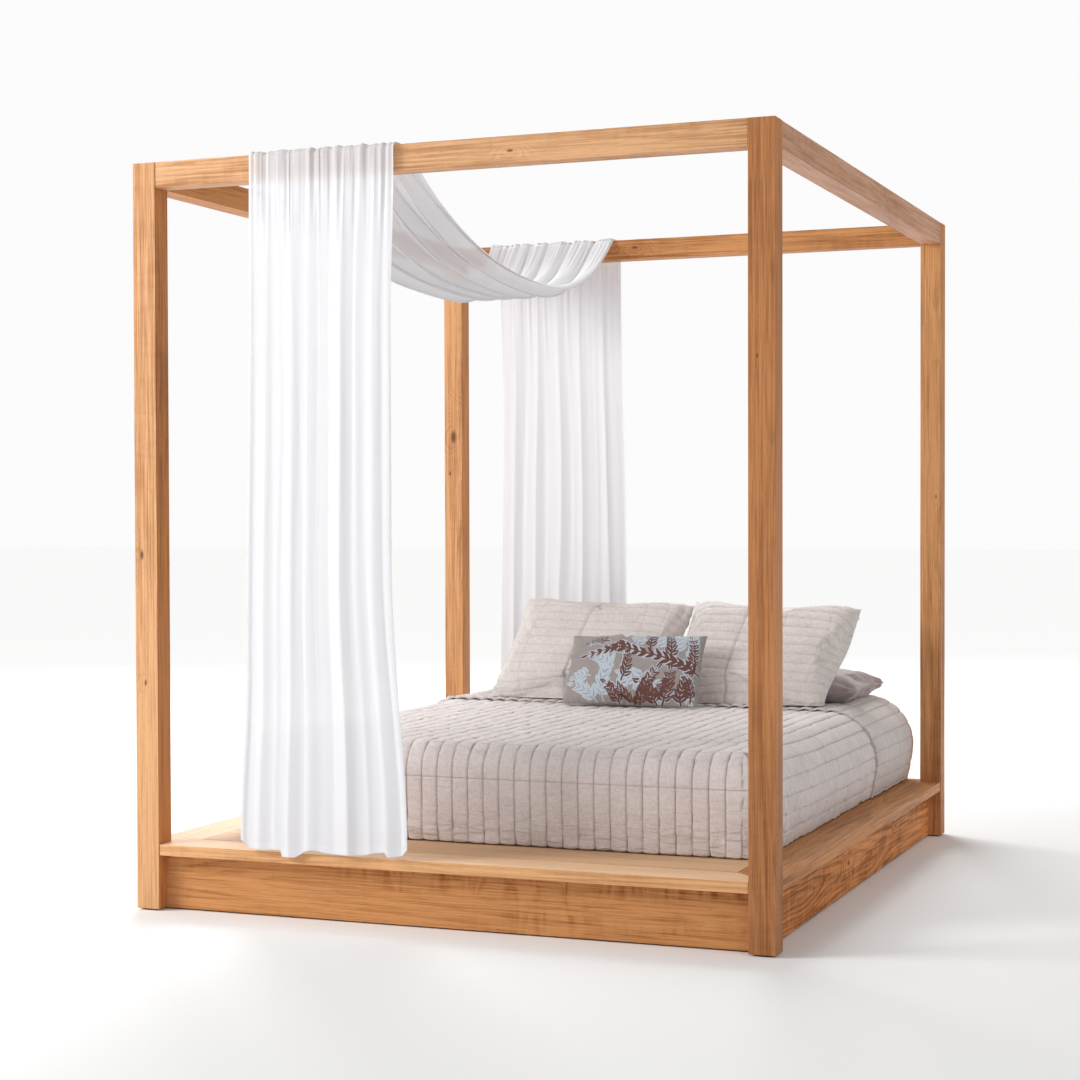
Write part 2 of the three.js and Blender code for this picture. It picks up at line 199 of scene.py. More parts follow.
class Shader:
    """A material whose nodes are added by short calls that return their output socket."""

    def __init__(self, name, roughness):
        self.material = bpy.data.materials.new(name)
        self.material.use_nodes = True
        self.tree = self.material.node_tree
        self.tree.nodes.clear()
        self.bsdf = self.tree.nodes.new("ShaderNodeBsdfPrincipled")
        self.bsdf.inputs["Roughness"].default_value = roughness
        output = self.tree.nodes.new("ShaderNodeOutputMaterial")
        self.tree.links.new(self.bsdf.outputs["BSDF"], output.inputs["Surface"])

    def feed(self, socket, value):
        if isinstance(value, bpy.types.NodeSocket):
            self.tree.links.new(value, socket)
        elif value is not None:
            socket.default_value = value

    def node(self, kind, values, output=0, **settings):
        made = self.tree.nodes.new(kind)
        for key, value in settings.items():
            setattr(made, key, value)
        for key, value in values.items():
            self.feed(made.inputs[key], value)
        return made.outputs[output]

    def set(self, **values):
        for key, value in values.items():
            self.feed(self.bsdf.inputs[key.replace("_", " ")], value)

    def math(self, operation, a, b=0.0, c=0.0, clamp=False):
        return self.node(
            "ShaderNodeMath", {0: a, 1: b, 2: c}, operation=operation, use_clamp=clamp
        )

    def vector(self, operation, a, b=None, output=0):
        values = {0: a} if b is None else {0: a, 1: b}
        return self.node("ShaderNodeVectorMath", values, output, operation=operation)

    def combine(self, x, y, z):
        return self.node("ShaderNodeCombineXYZ", {0: x, 1: y, 2: z})

    def separate(self, vector):
        made = self.tree.nodes.new("ShaderNodeSeparateXYZ")
        self.feed(made.inputs[0], vector)
        return made.outputs[0], made.outputs[1], made.outputs[2]

    def noise(self, vector, scale, detail=2.0, roughness=0.5, distortion=0.0):
        values = {
            "Vector": vector,
            "Scale": scale,
            "Detail": detail,
            "Roughness": roughness,
            "Distortion": distortion,
        }
        return self.node("ShaderNodeTexNoise", values)

    def remap(self, value, low, high, to_low=0.0, to_high=1.0, smooth=True):
        values = {0: value, 1: low, 2: high, 3: to_low, 4: to_high}
        kind = "SMOOTHSTEP" if smooth else "LINEAR"
        return self.node("ShaderNodeMapRange", values, interpolation_type=kind)

    def mix(self, factor, a, b, blend="MIX"):
        made = self.tree.nodes.new("ShaderNodeMix")
        made.data_type = "RGBA"
        made.blend_type = blend
        self.feed(made.inputs["Factor"], factor)
        self.feed(made.inputs[6], a)
        self.feed(made.inputs[7], b)
        return made.outputs[2]

    def attribute(self, name):
        return self.node("ShaderNodeAttribute", {}, "Fac", attribute_name=name)

    def uv(self):
        return self.node("ShaderNodeUVMap", {}, uv_map="cloth")

    def place(self):
        made = self.tree.nodes.new("ShaderNodeTexCoord")
        return made.outputs["Object"]

    def bump(self, height, distance, strength=1.0, normal=None):
        values = {"Strength": strength, "Distance": distance, "Height": height}
        if normal is not None:
            values["Normal"] = normal
        return self.node("ShaderNodeBump", values)


# ---------------------------------------------------------------- camera, light and floor


def make_camera():
    data = bpy.data.cameras.new("camera")
    data.sensor_width = 36
    data.lens = 73.98
    data.shift_x = 0.0937
    data.shift_y = 0.0184
    data.clip_end = 300
    camera = bpy.data.objects.new("camera", data)
    scene.collection.objects.link(camera)
    yaw, pitch, roll = math.radians(23.081), math.radians(-1.2175), math.radians(-0.2136)
    camera.matrix_world = (
        Matrix.Translation((2.3838, -6.7625, 1.1491))
        @ Matrix.Rotation(yaw, 4, "Z")
        @ Matrix.Rotation(math.pi / 2 + pitch, 4, "X")
        @ Matrix.Rotation(roll, 4, "Z")
    )
    scene.camera = camera


def make_softbox(name, place, target, size, power):
    data = bpy.data.lights.new(name, "AREA")
    data.energy = power
    data.size = size
    box = bpy.data.objects.new(name, data)
    box.location = place
    box.rotation_euler = (Vector(place) - Vector(target)).to_track_quat("Z", "Y").to_euler()
    scene.collection.objects.link(box)


def make_sun(name, toward, energy, spread):
    data = bpy.data.lights.new(name, "SUN")
    data.energy = energy
    data.angle = math.radians(spread)
    sun = bpy.data.objects.new(name, data)
    sun.rotation_euler = Vector(toward).to_track_quat("Z", "Y").to_euler()
    scene.collection.objects.link(sun)


def make_world():
    world = bpy.data.worlds.new("studio")
    world.use_nodes = True
    tree = world.node_tree
    tree.nodes.clear()
    seen = tree.nodes.new("ShaderNodeBackground")
    seen.inputs["Strength"].default_value = 0.97
    seen.inputs["Color"].default_value = (1, 1, 1, 1)
    soft = tree.nodes.new("ShaderNodeBackground")
    soft.inputs["Strength"].default_value = 0.41
    soft.inputs["Color"].default_value = (1, 0.995, 0.985, 1)
    path = tree.nodes.new("ShaderNodeLightPath")
    mix = tree.nodes.new("ShaderNodeMixShader")
    output = tree.nodes.new("ShaderNodeOutputWorld")
    tree.links.new(path.outputs["Is Camera Ray"], mix.inputs[0])
    tree.links.new(soft.outputs[0], mix.inputs[1])
    tree.links.new(seen.outputs[0], mix.inputs[2])
    tree.links.new(mix.outputs[0], output.inputs["Surface"])
    scene.world = world


def make_floor():
    side = 60
    points = np.array([[-side, -side, 0], [side, -side, 0], [side, side, 0], [-side, side, 0]])
    floor = mesh_object("studio_floor", points, np.array([[0, 1, 2, 3]]))
    floor.location.z = -0.001
    paint = Shader("studio_floor", 0.9)
    far = paint.vector("LENGTH", paint.place(), output=1)
    paint.set(
        Base_Color=(0.9, 0.9, 0.9, 1), Specular_IOR_Level=0.1, Emission_Color=(1, 1, 1, 1),
        Emission_Strength=paint.remap(far, 2.2, 9.0, 0.0, 0.5))
    floor.data.materials.append(paint.material)


make_camera()
make_world()
make_softbox("key", (-4.4, -3.7, 3.0), (-0.2, -0.3, 0.6), 2.4, 240)
make_softbox("back", (-2.6, 4.6, 5.2), (0.0, 0.2, 0.4), 4.0, 430)
make_sun("fill", (0.9, -0.4, 0.5), 0.62, 60)
make_floor()
scene.view_settings.view_transform = "Standard"


# ---------------------------------------------------------------- teak

AXES = {"X": (0, 1, 2), "Y": (1, 0, 2), "Z": (2, 0, 1)}


TEAK_TONES = (
    ((232, 192, 152), (184, 134, 92)), ((210, 151, 98), (150, 91, 50)), ((190, 124, 70), (112, 61, 30)))


def teak_pair(tone):
    """The light and dark wood of a board, from pale at -1 to deep at 1."""
    low, high = (0, 1) if tone < 0 else (1, 2)
    t = tone + 1 if tone < 0 else tone
    return [
        tuple(lerp(a, b, t) for a, b in zip(linear(*TEAK_TONES[low][k]), linear(*TEAK_TONES[high][k])))
        for k in (0, 1)]


def teak(node, along, seed, tone=0.0, pitch=0.009, pith=(0.11, 0.16), tilt=(0.02, -0.012), knots=(),
         figure=0.3, rough=0.5, painted_side_shade=0.25, pair=None, gloss=0.12, ring_depth=0.3, painted_shading=0.0):
    """Oiled teak for one board, whose grain runs along one axis.

    pith is from the board's middle to the heart of the tree.
    Faces that look toward +X take a deeper tone, by the side amount given: painted shade on the side away
    from the key light.
    Faces that look up are made paler, by the top amount given: painted light on the tops.
    """
    s = Shader(f"teak_{node}", rough)
    low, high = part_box(node)
    middle = (low + high) / 2
    axes = s.separate(s.vector("SUBTRACT", s.place(), tuple(middle)))
    run, side, up = (axes[k] for k in AXES[along])
    rng = np.random.default_rng(seed)
    shift = [float(v) for v in rng.uniform(-9, 9, 3)]
    grain = s.combine(*(s.math("ADD", part, move) for part, move in zip((run, side, up), shift)))
    slow = s.noise(s.vector("MULTIPLY", grain, (1.3, 3.0, 3.0)), 1.0, 2.0)
    wander = s.math("MULTIPLY_ADD", slow, 0.06, -0.03)
    a = s.math("ADD", s.math("MULTIPLY_ADD", run, tilt[0], -pith[0]), side)
    b = s.math("ADD", s.math("MULTIPLY_ADD", run, tilt[1], -pith[1]), up)
    a, b = s.math("ADD", a, wander), s.math("SUBTRACT", b, wander)
    radius = s.vector("LENGTH", s.combine(0.0, a, b), output=1)
    knot_dark = None
    for place, size in knots:
        here = [place[AXES[along][k]] - middle[AXES[along][k]] for k in range(3)]
        gap = s.vector(
            "MULTIPLY", s.vector("SUBTRACT", s.combine(run, side, up), tuple(here)), (0.42, 1.0, 1.0))
        far = s.vector("LENGTH", gap, output=1)
        near = s.remap(far, 0.0, size * 3.2, 1.0, 0.0)
        radius = s.math("ADD", radius, s.math("MULTIPLY", near, size * 2.2))
        spot = s.remap(far, size * 0.15, size * 0.6, 1.0, 0.0)
        knot_dark = spot if knot_dark is None else s.math("MAXIMUM", knot_dark, spot)
    ripple = s.noise(s.vector("MULTIPLY", grain, (3.0, 30.0, 30.0)), 1.0, 2.0)
    radius = s.math("ADD", radius, s.math("MULTIPLY", ripple, pitch * 0.9))
    turn = s.math("DIVIDE", radius, pitch)
    ring = s.math("FRACT", turn)
    late = s.math("MULTIPLY", s.remap(ring, 0.35, 0.93), s.remap(ring, 0.93, 1.0, 1.0, 0.0))
    band = s.noise(s.combine(s.math("MULTIPLY", turn, 0.37), 0.0, 0.0), 1.0, 2.0)
    late = s.math("MULTIPLY", late, s.remap(band, 0.3, 0.7, 0.25, 1.0))
    streak = s.noise(s.vector("MULTIPLY", grain, (3.0, 62.0, 62.0)), 1.0, 4.0, 0.6)
    lines = s.noise(s.vector("MULTIPLY", grain, (3.8, 190.0, 190.0)), 1.0, 3.0, 0.65)
    fibre = s.noise(s.vector("MULTIPLY", grain, (9.0, 520.0, 520.0)), 1.0, 3.0, 0.6)
    patch = s.noise(s.vector("MULTIPLY", grain, (0.9, 7.0, 7.0)), 1.0, 3.0, 0.55)
    curl = s.noise(s.vector("MULTIPLY", grain, (26.0, 7.0, 7.0)), 1.0, 2.0, 0.5, 0.8)
    mixed = s.math("MULTIPLY", late, ring_depth)
    mixed = s.math("ADD", mixed, s.remap(streak, 0.3, 0.75, -0.10, 0.22))
    mixed = s.math("ADD", mixed, s.remap(lines, 0.36, 0.66, -0.17, 0.36))
    mixed = s.math("ADD", mixed, s.remap(patch, 0.3, 0.72, -0.26, 0.36))
    stripe = s.math("MULTIPLY", s.remap(curl, 0.35, 0.7, -figure, figure), s.remap(patch, 0.4, 0.65))
    mixed = s.math("ADD", mixed, s.math("MULTIPLY", stripe, 0.5))
    mixed = s.math("ADD", mixed, s.remap(fibre, 0.3, 0.7, -0.12, 0.18, smooth=False))
    mixed = s.math("ADD", mixed, 0.10, clamp=True)
    light, dark = pair or teak_pair(max(tone, -1))
    colour = s.mix(mixed, light, dark)
    # painted shade on faces toward +X, painted light on faces that look up
    if painted_side_shade or painted_shading:
        light_side, dark_side = pair or teak_pair(min(tone + painted_side_shade, 1))
        normal = s.tree.nodes.new("ShaderNodeNewGeometry").outputs["True Normal"]
        facing = s.separate(s.node(
            "ShaderNodeVectorTransform", {"Vector": normal}, vector_type="NORMAL",
            convert_from="WORLD", convert_to="OBJECT"))
        # painted shade: faces that look toward +X take the deeper side colours
        colour = s.mix(s.remap(facing[0], 0.5, 0.8), colour, s.mix(mixed, light_side, dark_side))
        if painted_shading:
            # painted light: faces that look up are mixed toward a pale colour
            colour = s.mix(s.remap(facing[2], 0.5, 0.8, 0.0, painted_shading), colour, linear(255, 226, 186))
    pores = s.noise(s.vector("MULTIPLY", grain, (34.0, 900.0, 900.0)), 1.0, 1.0)
    pores = s.remap(pores, 0.66, 0.74)
    colour = s.mix(s.math("MULTIPLY", pores, 0.35), colour, linear(104, 62, 34))
    if knot_dark is not None:
        colour = s.mix(s.math("MULTIPLY", knot_dark, 0.8), colour, linear(84, 46, 24))
    height = s.math("ADD", s.math("MULTIPLY", fibre, 0.6), s.math("MULTIPLY", pores, -0.8))
    height = s.math("ADD", height, s.math("MULTIPLY", late, 0.5))
    s.set(
        Base_Color=colour,
        Roughness=s.remap(streak, 0.2, 0.8, rough - 0.07, rough + 0.09),
        Normal=s.bump(height, 0.00035, 0.6),
        Specular_IOR_Level=gloss,
    )
    return s.material


def plain_wood(node, along, seed):
    return teak(node, along, seed, rough=0.7, painted_side_shade=0, pair=(linear(206, 170, 126), linear(160, 118, 78)))


def ease_edges(obj, width):
    """Welds the import's split corners and rounds every arris, without touching the CAD mesh."""
    weld = obj.modifiers.new("weld", "WELD")
    weld.merge_threshold = 0.00002
    bevel = obj.modifiers.new("eased_edges", "BEVEL")
    bevel.width = width
    bevel.segments = 3
    bevel.limit_method = "ANGLE"
    bevel.angle_limit = math.radians(40)
    bevel.harden_normals = False


def wear(node, material, width=0.0016):
    obj = nodes[node]
    obj.data.materials.clear()
    obj.data.materials.append(material)
    obj.data.shade_flat()
    ease_edges(obj, width)


def dress_timber():
    corners = ("front_left", "front_right", "rear_left", "rear_right")
    post_knots = {
        "front_left": [((-0.925, -1.19, 1.03), 0.014), ((-0.915, -1.19, 0.66), 0.009)],
        "front_right": [((0.90, -1.19, 1.55), 0.006)],
        "rear_left": [((-0.91, 1.117, 1.44), 0.026), ((-0.925, 1.117, 1.30), 0.010)],
        "rear_right": [((0.93, 1.117, 1.2), 0.007)],
    }
    # each post's tone, and the painted shade on its +X face
    post_tones = ((-0.35, 1.05), (0.6, 0.0), (-0.2, 0.5), (-0.1, 0.2))
    for k, corner in enumerate(corners):
        grain = teak(
            f"post_{corner}", "Z", 11 + k, post_tones[k][0], 0.0065,
            (0.055 - 0.012 * k, 0.045 + 0.006 * k), (0.007, 0.005), post_knots[corner], 0.15,
            painted_side_shade=post_tones[k][1], ring_depth=0.24,
            pair=(linear(192, 131, 84), linear(134, 85, 50)) if corner == "front_right" else None)
        wear(f"post_{corner}", grain)
    rails = {
        "foot": ("X", 31, -0.5, [((0.22, -1.188, 2.12), 0.010)], 0.2),
        "head": ("X", 32, 0.15, [((-0.18, 1.12, 2.13), 0.012), ((0.3, 1.12, 2.12), 0.007)], 0.2),
        "left": ("Y", 33, 0.4, [], 0.2),
        "right": ("Y", 34, 0.0, [((0.946, 0.2, 2.12), 0.008)], 0.2),
    }
    for name, (along, seed, tone, knots, figure) in rails.items():
        wear(f"top_rail_{name}", teak(
            f"top_rail_{name}", along, seed, tone, 0.007, (0.050, 0.035), (0.014, 0.008), knots, figure,
            pair=(linear(205, 160, 130), linear(166, 116, 88)) if name == "right" else None))
    ledges = {
        "foot": ("X", 41, -0.95), "head": ("X", 42, 0.0), "left": ("Y", 43, -0.7), "right": ("Y", 44, 0.2)}
    for name, (along, seed, tone) in ledges.items():
        knots = [((0.935, -0.05, 0.176), 0.010)] if name == "right" else []
        wear(f"ledge_board_{name}", teak(
            f"ledge_board_{name}", along, seed, tone, 0.008, (0.015, -0.050), (0.012, 0.006), knots, 0.15,
            # the foot ledge's paler pair is painted light, brightening a board that lies in the bedding's
            # shade
            pair=(linear(230, 176, 120), linear(186, 126, 74)) if name == "foot" else None,
            gloss={"left": 0.8, "foot": 0.6}.get(name, 0.15),
            # painted light on the tops of the left and foot ledges
            painted_shading={"left": 0.2, "foot": 0.35}.get(name, 0.0)))
    aprons = {
        "foot": ("X", 51, 0.1, 0.010, (0.055, 0.010), (0.024, 0.010), 0.9, []),
        "head": ("X", 52, 0.1, 0.008, (-0.060, 0.010), (0.006, 0.010), 0.3, []),
        "left": ("Y", 53, 0.1, 0.008, (0.050, 0.020), (0.008, 0.014), 0.3, []),
        "right": ("Y", 54, -0.1, 0.012, (-0.045, 0.000), (0.032, 0.020), 0.3,
                  [((0.904, -0.15, 0.09), 0.016), ((0.904, 0.55, 0.11), 0.010)]),
    }
    for name, (along, seed, tone, pitch, pith, tilt, figure, knots) in aprons.items():
        wear(f"apron_{name}", teak(
            f"apron_{name}", along, seed, tone, pitch, pith, tilt, knots, figure, gloss=0.05,
            # the right apron's brighter pair is painted light, making up for the light its shaded side lacks
            pair=(linear(232, 156, 92), linear(148, 90, 48)) if name == "right" else None,
            ring_depth=0.6 if name == "right" else 0.3))
    for k in range(1, 11):
        wear(f"deck_plank_{k:02d}", teak(
            f"deck_plank_{k:02d}", "X", 60 + k, -0.35 + 0.2 * math.sin(k * 2.3), 0.008,
            (0.02 * (k % 3), -0.06), (0.012, 0.006), [], 0.15, rough=0.5, gloss=0.35,
            # painted light on the planks' tops, most on the two at the foot
            painted_shading=0.35 if k < 3 else 0.12))
    hidden = {
        "cleat_foot": "X", "cleat_head": "X", "cleat_left": "Y", "cleat_right": "Y", "centre_beam": "Y",
        "centre_leg_foot": "Z", "centre_leg_head": "Z",
    }
    for k, (name, along) in enumerate(hidden.items()):
        wear(name, plain_wood(name, along, 81 + k), 0.0012)
    for k, corner in enumerate(corners):
        wear(f"corner_block_{corner}", plain_wood(f"corner_block_{corner}", "Z", 91 + k), 0.0012)


def dress_small_parts():
    steel = Shader("turned_steel", 0.34)
    rings = steel.noise(steel.vector("MULTIPLY", steel.place(), (900.0, 900.0, 900.0)), 1.0, 2.0)
    steel.set(
        Base_Color=steel.mix(rings, (0.46, 0.46, 0.45, 1), (0.62, 0.62, 0.6, 1)),
        Roughness=steel.remap(rings, 0.2, 0.8, 0.28, 0.42),
        Normal=steel.bump(rings, 0.0001, 0.4),
    )
    steel.bsdf.inputs["Metallic"].default_value = 1.0
    felt = Shader("wool_felt", 0.97)
    fuzz = felt.noise(felt.place(), 900.0, 4.0, 0.7)
    felt.set(
        Base_Color=felt.mix(fuzz, linear(66, 50, 38), linear(112, 90, 70)),
        Normal=felt.bump(fuzz, 0.0006, 0.8),
    )
    felt.bsdf.inputs["Sheen Weight"].default_value = 0.3
    for corner in ("front_left", "front_right", "rear_left", "rear_right"):
        for end in ("", "_side"):
            nodes[f"rail_dowel_{corner}{end}"].data.materials.clear()
            nodes[f"rail_dowel_{corner}{end}"].data.materials.append(steel.material)
            ease_edges(nodes[f"rail_dowel_{corner}{end}"], 0.0008)
        wear(f"floor_glide_{corner}", felt.material, 0.0008)


dress_timber()
dress_small_parts()


# ---------------------------------------------------------------- cloth materials


def woven(name, base, deep, roughness, thread=0.0011, slub=1.0, sheen=0.2, seam=None, painted_groove_shade=0.3):
    """A plain weave in the cloth's own coordinates, with slubs and a washed, mottled colour, and painted
    shade in the grooves that a seam attribute marks.
    """
    s = Shader(name, roughness)
    uv = s.uv()
    u, v, _ = s.separate(uv)
    warp = s.math("SINE", s.math("MULTIPLY", u, 2 * math.pi / thread))
    weft = s.math("SINE", s.math("MULTIPLY", v, 2 * math.pi / thread))
    weave = s.math("MULTIPLY_ADD", s.math("MULTIPLY", warp, weft), 0.5, 0.5)
    along = s.noise(s.vector("MULTIPLY", uv, (30.0, 900.0, 1.0)), 1.0, 3.0, 0.6)
    across = s.noise(s.vector("MULTIPLY", uv, (900.0, 30.0, 1.0)), 1.0, 3.0, 0.6)
    slubs = s.math("ADD", s.remap(along, 0.35, 0.7, -0.2, 0.3), s.remap(across, 0.35, 0.7, -0.2, 0.3))
    cloud = s.noise(uv, 9.0, 4.0, 0.6)
    fleck = s.noise(s.vector("MULTIPLY", uv, (60.0, 240.0, 1.0)), 1.0, 3.0, 0.6)
    fleck = s.math("ADD", fleck, s.noise(s.vector("MULTIPLY", uv, (240.0, 60.0, 1.0)), 1.0, 3.0, 0.6))
    tint = s.math("MULTIPLY_ADD", slubs, 0.45 * slub, 0.28)
    tint = s.math("ADD", tint, s.remap(cloud, 0.3, 0.7, -0.16, 0.16))
    tint = s.math("ADD", tint, s.remap(fleck, 0.75, 1.25, -0.22 * slub, 0.26 * slub))
    tint = s.math("ADD", tint, s.math("MULTIPLY", weave, 0.1), clamp=True)
    colour = s.mix(tint, base, deep)
    # painted shade: the seam attribute darkens the grooves toward a deep, shaded colour
    if seam:
        groove = s.attribute(seam)
        shaded = tuple(c * 0.38 for c in deep[:3]) + (1,)
        colour = s.mix(s.math("MULTIPLY", groove, painted_groove_shade), colour, shaded)
    height = s.math("ADD", s.math("MULTIPLY", weave, 0.5), s.math("MULTIPLY", slubs, 0.9))
    normal = None
    if seam:
        lane = s.math("FLOOR", s.math("DIVIDE", u, CHANNEL))
        rucks = s.combine(s.math("MULTIPLY", u, 14.0), s.math("MULTIPLY", v, 60.0), lane)
        ruck = s.noise(rucks, 1.0, 3.0, 0.55, 0.4)
        ruck = s.math("MULTIPLY", s.remap(ruck, 0.25, 0.75), s.attribute("pucker"))
        normal = s.bump(ruck, 0.006, 1.0)
    s.set(Base_Color=colour, Normal=s.bump(height, 0.0004, 0.55, normal), Specular_IOR_Level=0.25)
    s.bsdf.inputs["Sheen Weight"].default_value = sheen
    s.bsdf.inputs["Sheen Roughness"].default_value = 0.5
    return s


# painted shade in the quilt's grooves and under the fold's lip, at strength 0.4
quilt_cloth = woven(
    "washed_linen_quilt", linear(229, 221, 220), linear(201, 192, 190), 0.9, seam="seam", painted_groove_shade=0.4)
fold_cloth = woven("washed_linen_reverse", linear(221, 212, 209), linear(192, 183, 179), 0.9, seam="seam")
sham_cloth = woven("washed_linen_sham", linear(222, 214, 211), linear(193, 184, 180), 0.9, seam="seam")
sateen = woven(
    "sateen", linear(176, 163, 163), linear(150, 137, 138), 0.5, thread=0.0006, slub=0.35, sheen=0.35)
ticking = woven("mattress_ticking", linear(232, 227, 217), linear(206, 199, 186), 0.85, thread=0.0012)


# ---------------------------------------------------------------- quilt


def quilt_profile(depth, shoulder_out, shoulder_down, total_down, tuck):
    """How far out and down the cover has gone at a depth from 0, the shoulder's start, to 1, the hem."""
    arc = math.pi / 2 * np.sqrt((shoulder_out**2 + shoulder_down**2) / 2)
    fall = total_down - shoulder_down
    turn = arc / (arc + fall)
    phi = np.clip(depth / turn, 0, 1) * math.pi / 2
    below = np.clip((depth - turn) / (1 - turn), 0, 1)
    out = shoulder_out * np.sin(phi) - tuck * below**1.7
    down = shoulder_down * (1 - np.cos(phi)) + fall * below
    return out, down, arc + fall


class Cover:
    """A quilted cover over the mattress: its base surface and the coordinates of its quilting."""

    def __init__(self, raise_by):
        self.top = quilt_high[2] + raise_by
        self.hem = quilt_low[2]
        down = self.top - self.hem
        self.raised = raise_by
        self.flat_x = quilt_high[0] + SIDE_BULGE[1] - SHOULDER_X
        self.foot_y = quilt_low[1] - raise_by + FOOT_SHOULDER_Y
        self.down = down
        self.side_arc = quilt_profile(0, SHOULDER_X + raise_by, SHOULDER_Z, down, HEM_TUCK)[2]
        self.foot_arc = quilt_profile(0, FOOT_SHOULDER_Y, FOOT_SHOULDER_Z, down, HEM_TUCK * 0.4)[2]
        self.half = self.flat_x + float(self.side_arc)

    def surface(self, across, along):
        """Points, channel coordinate, run coordinate, corner weight. along is 0 at the foot hem."""
        soft = smoothstep(-0.1, 0.75, along - self.foot_arc)
        shoulder_x, shoulder_z = lerp(0.085, SHOULDER_X, soft), lerp(0.095, SHOULDER_Z, soft)
        bulge = np.where(across > 0, SIDE_BULGE[1], SIDE_BULGE[-1])
        flat_x = quilt_high[0] + bulge - shoulder_x
        side = np.clip((np.abs(across) - flat_x) / (self.half - flat_x), 0, None)
        foot = np.clip((self.foot_arc - along) / self.foot_arc, 0, None)
        depth = np.maximum(side, foot)
        safe = np.maximum(depth, 1e-9)
        theta = np.where(
            side >= foot, math.pi / 4 * foot / safe, math.pi / 2 - math.pi / 4 * side / safe)
        theta = np.where(depth <= 0, 0, theta)
        out_x, down_x, _ = quilt_profile(
            depth, shoulder_x + self.raised, shoulder_z, self.down, HEM_TUCK)
        out_y, down_y, _ = quilt_profile(
            depth, FOOT_SHOULDER_Y, FOOT_SHOULDER_Z, self.down, HEM_TUCK * 0.4)
        share = np.sin(theta) ** 2
        x = np.sign(across) * (np.minimum(np.abs(across), flat_x) + out_x * np.cos(theta) * (depth > 0))
        y = self.foot_y + np.maximum(along - self.foot_arc, 0) - out_y * np.sin(theta)
        z = self.top - lerp(down_x, down_y, share)
        front = foot > side
        corner = (side > 0) & (foot > 0)
        turned = flat_x + 0.07 * (math.pi / 2 - theta) / (math.pi / 4)
        channel = np.where(front & corner, np.sign(across) * turned, across)
        run = np.where(corner & ~front, self.foot_arc - 0.1 * theta / (math.pi / 4), along)
        diagonal = np.where(corner, np.abs(side - foot) * self.side_arc, 1.0)
        return np.stack([x, y, z], axis=2), channel, run, diagonal, front


def channel_columns(half, offsets):
    """Column positions that follow the quilting, closest at the seams."""
    count = math.ceil(half / CHANNEL)
    columns = [k * CHANNEL + f * CHANNEL for k in range(-count, count) for f in offsets]
    columns = [c for c in columns if -half < c < half]
    return np.array([-half, *columns, half])


def seam_distance(coordinate, pitch):
    return np.abs((coordinate / pitch + 0.5) % 1 - 0.5) * pitch


def make_quilt():
    cover = Cover(0.0)
    across = channel_columns(cover.half, (0, 0.03, 0.07, 0.2, 0.5, 0.8, 0.93, 0.97))
    length = cover.foot_arc + quilt_high[1] - cover.foot_y
    seams = (0.186, 0.56, 0.93, 1.30, 1.67, 2.04)
    along = np.unique(np.concatenate([
        np.linspace(0, cover.foot_arc, 58, endpoint=False),
        np.linspace(cover.foot_arc, length, 262),
        *(seam + np.array([-0.0034, -0.0017, 0, 0.0017, 0.0034]) for seam in seams),
    ]))
    along = along[along <= length]
    c, w = np.meshgrid(across, along)
    points, channel, run, diagonal, front = cover.surface(c, w)
    normals = grid_normals(points)
    level = smoothstep(0.35, 0.8, normals[..., 2])
    seam = seam_distance(channel, CHANNEL)
    lane = np.floor(channel / CHANNEL)
    cross = np.min([np.abs(run - s) for s in seams], axis=0)
    groove = np.exp(-((seam / 0.0019) ** 2))
    cross_groove = np.exp(-((cross / 0.0019) ** 2)) * np.where(front | (level > 0.5), 1, 0.35)
    corner_groove = np.exp(-((diagonal / 0.006) ** 2)) * (1 - level)
    crown = np.sin(np.pi * seam / CHANNEL)
    panel = 1 - np.exp(-seam / 0.003)
    side = (1 - level) * (1 - front)
    height = lerp(0.0012 * panel + 0.0003 * crown + 0.0006 * side * crown, 0.0036 * crown, level)
    height -= (0.0026 - 0.0012 * side) * groove + 0.0026 * cross_groove
    height -= 0.003 * corner_groove
    pucker = noise2(run / 0.024 + 0.5 * lane, lane * 3.7 + 0.3 * channel / CHANNEL, 21)
    pucker += 0.6 * noise2(run / 0.014, lane * 2.1 + 0.5 * channel / CHANNEL, 22)
    lower = smoothstep(0.13, 0.03, w) * front
    strength = 0.0022 * level + 0.0048 * side + 0.0006 * front + 0.0020 * lower
    height += pucker * strength * (0.35 + 0.65 * np.exp(-seam / 0.012))
    bunch = np.exp(-(((np.abs(channel) - cover.flat_x - 0.05) / 0.06) ** 2)) * lower
    height += 0.004 * bunch * noise2(channel / 0.012, run / 0.05, 27)
    height += 0.0035 * fbm(points[..., 0] / 0.3, points[..., 1] / 0.3, 23) * (0.4 + 0.6 * level)
    height += 0.0028 * side * fbm(run / 0.16, channel / 0.1, 24)
    height += 0.0042 * lower * noise2(channel / 0.09, run / 0.035, 25)
    points = points + normals * height[..., None]
    hem = np.minimum(cover.half - np.abs(c), w)
    scallop = np.exp(-hem / 0.02) * (crown - 0.6) * 0.0022
    points[..., 2] -= scallop
    uv = np.stack([channel, run], axis=2)
    # painted shade: the quilting's grooves are darkened in the cloth's colour
    painted_shading = np.clip(1.0 * groove + 0.7 * cross_groove + 0.3 * corner_groove, 0, 1) * (1 - 0.5 * side)
    # painted shadow: a dark line on the quilt under the turned-down fold's lip
    lip = fold_low[1] - cover.foot_y + cover.foot_arc
    painted_shading = np.maximum(painted_shading, np.exp(-(((w - lip + 0.002) / 0.0042) ** 2)))
    ruck = np.clip(0.95 * side + 0.55 * level + 0.25 * front + 0.45 * lower, 0, 1)
    quilt = rimmed_sheet("quilt_cover", points, normals, uv, 0.013, {"seam": painted_shading, "pucker": ruck})
    dress(quilt, quilt_cloth.material, "bedding", "quilt_linen", "quilt")


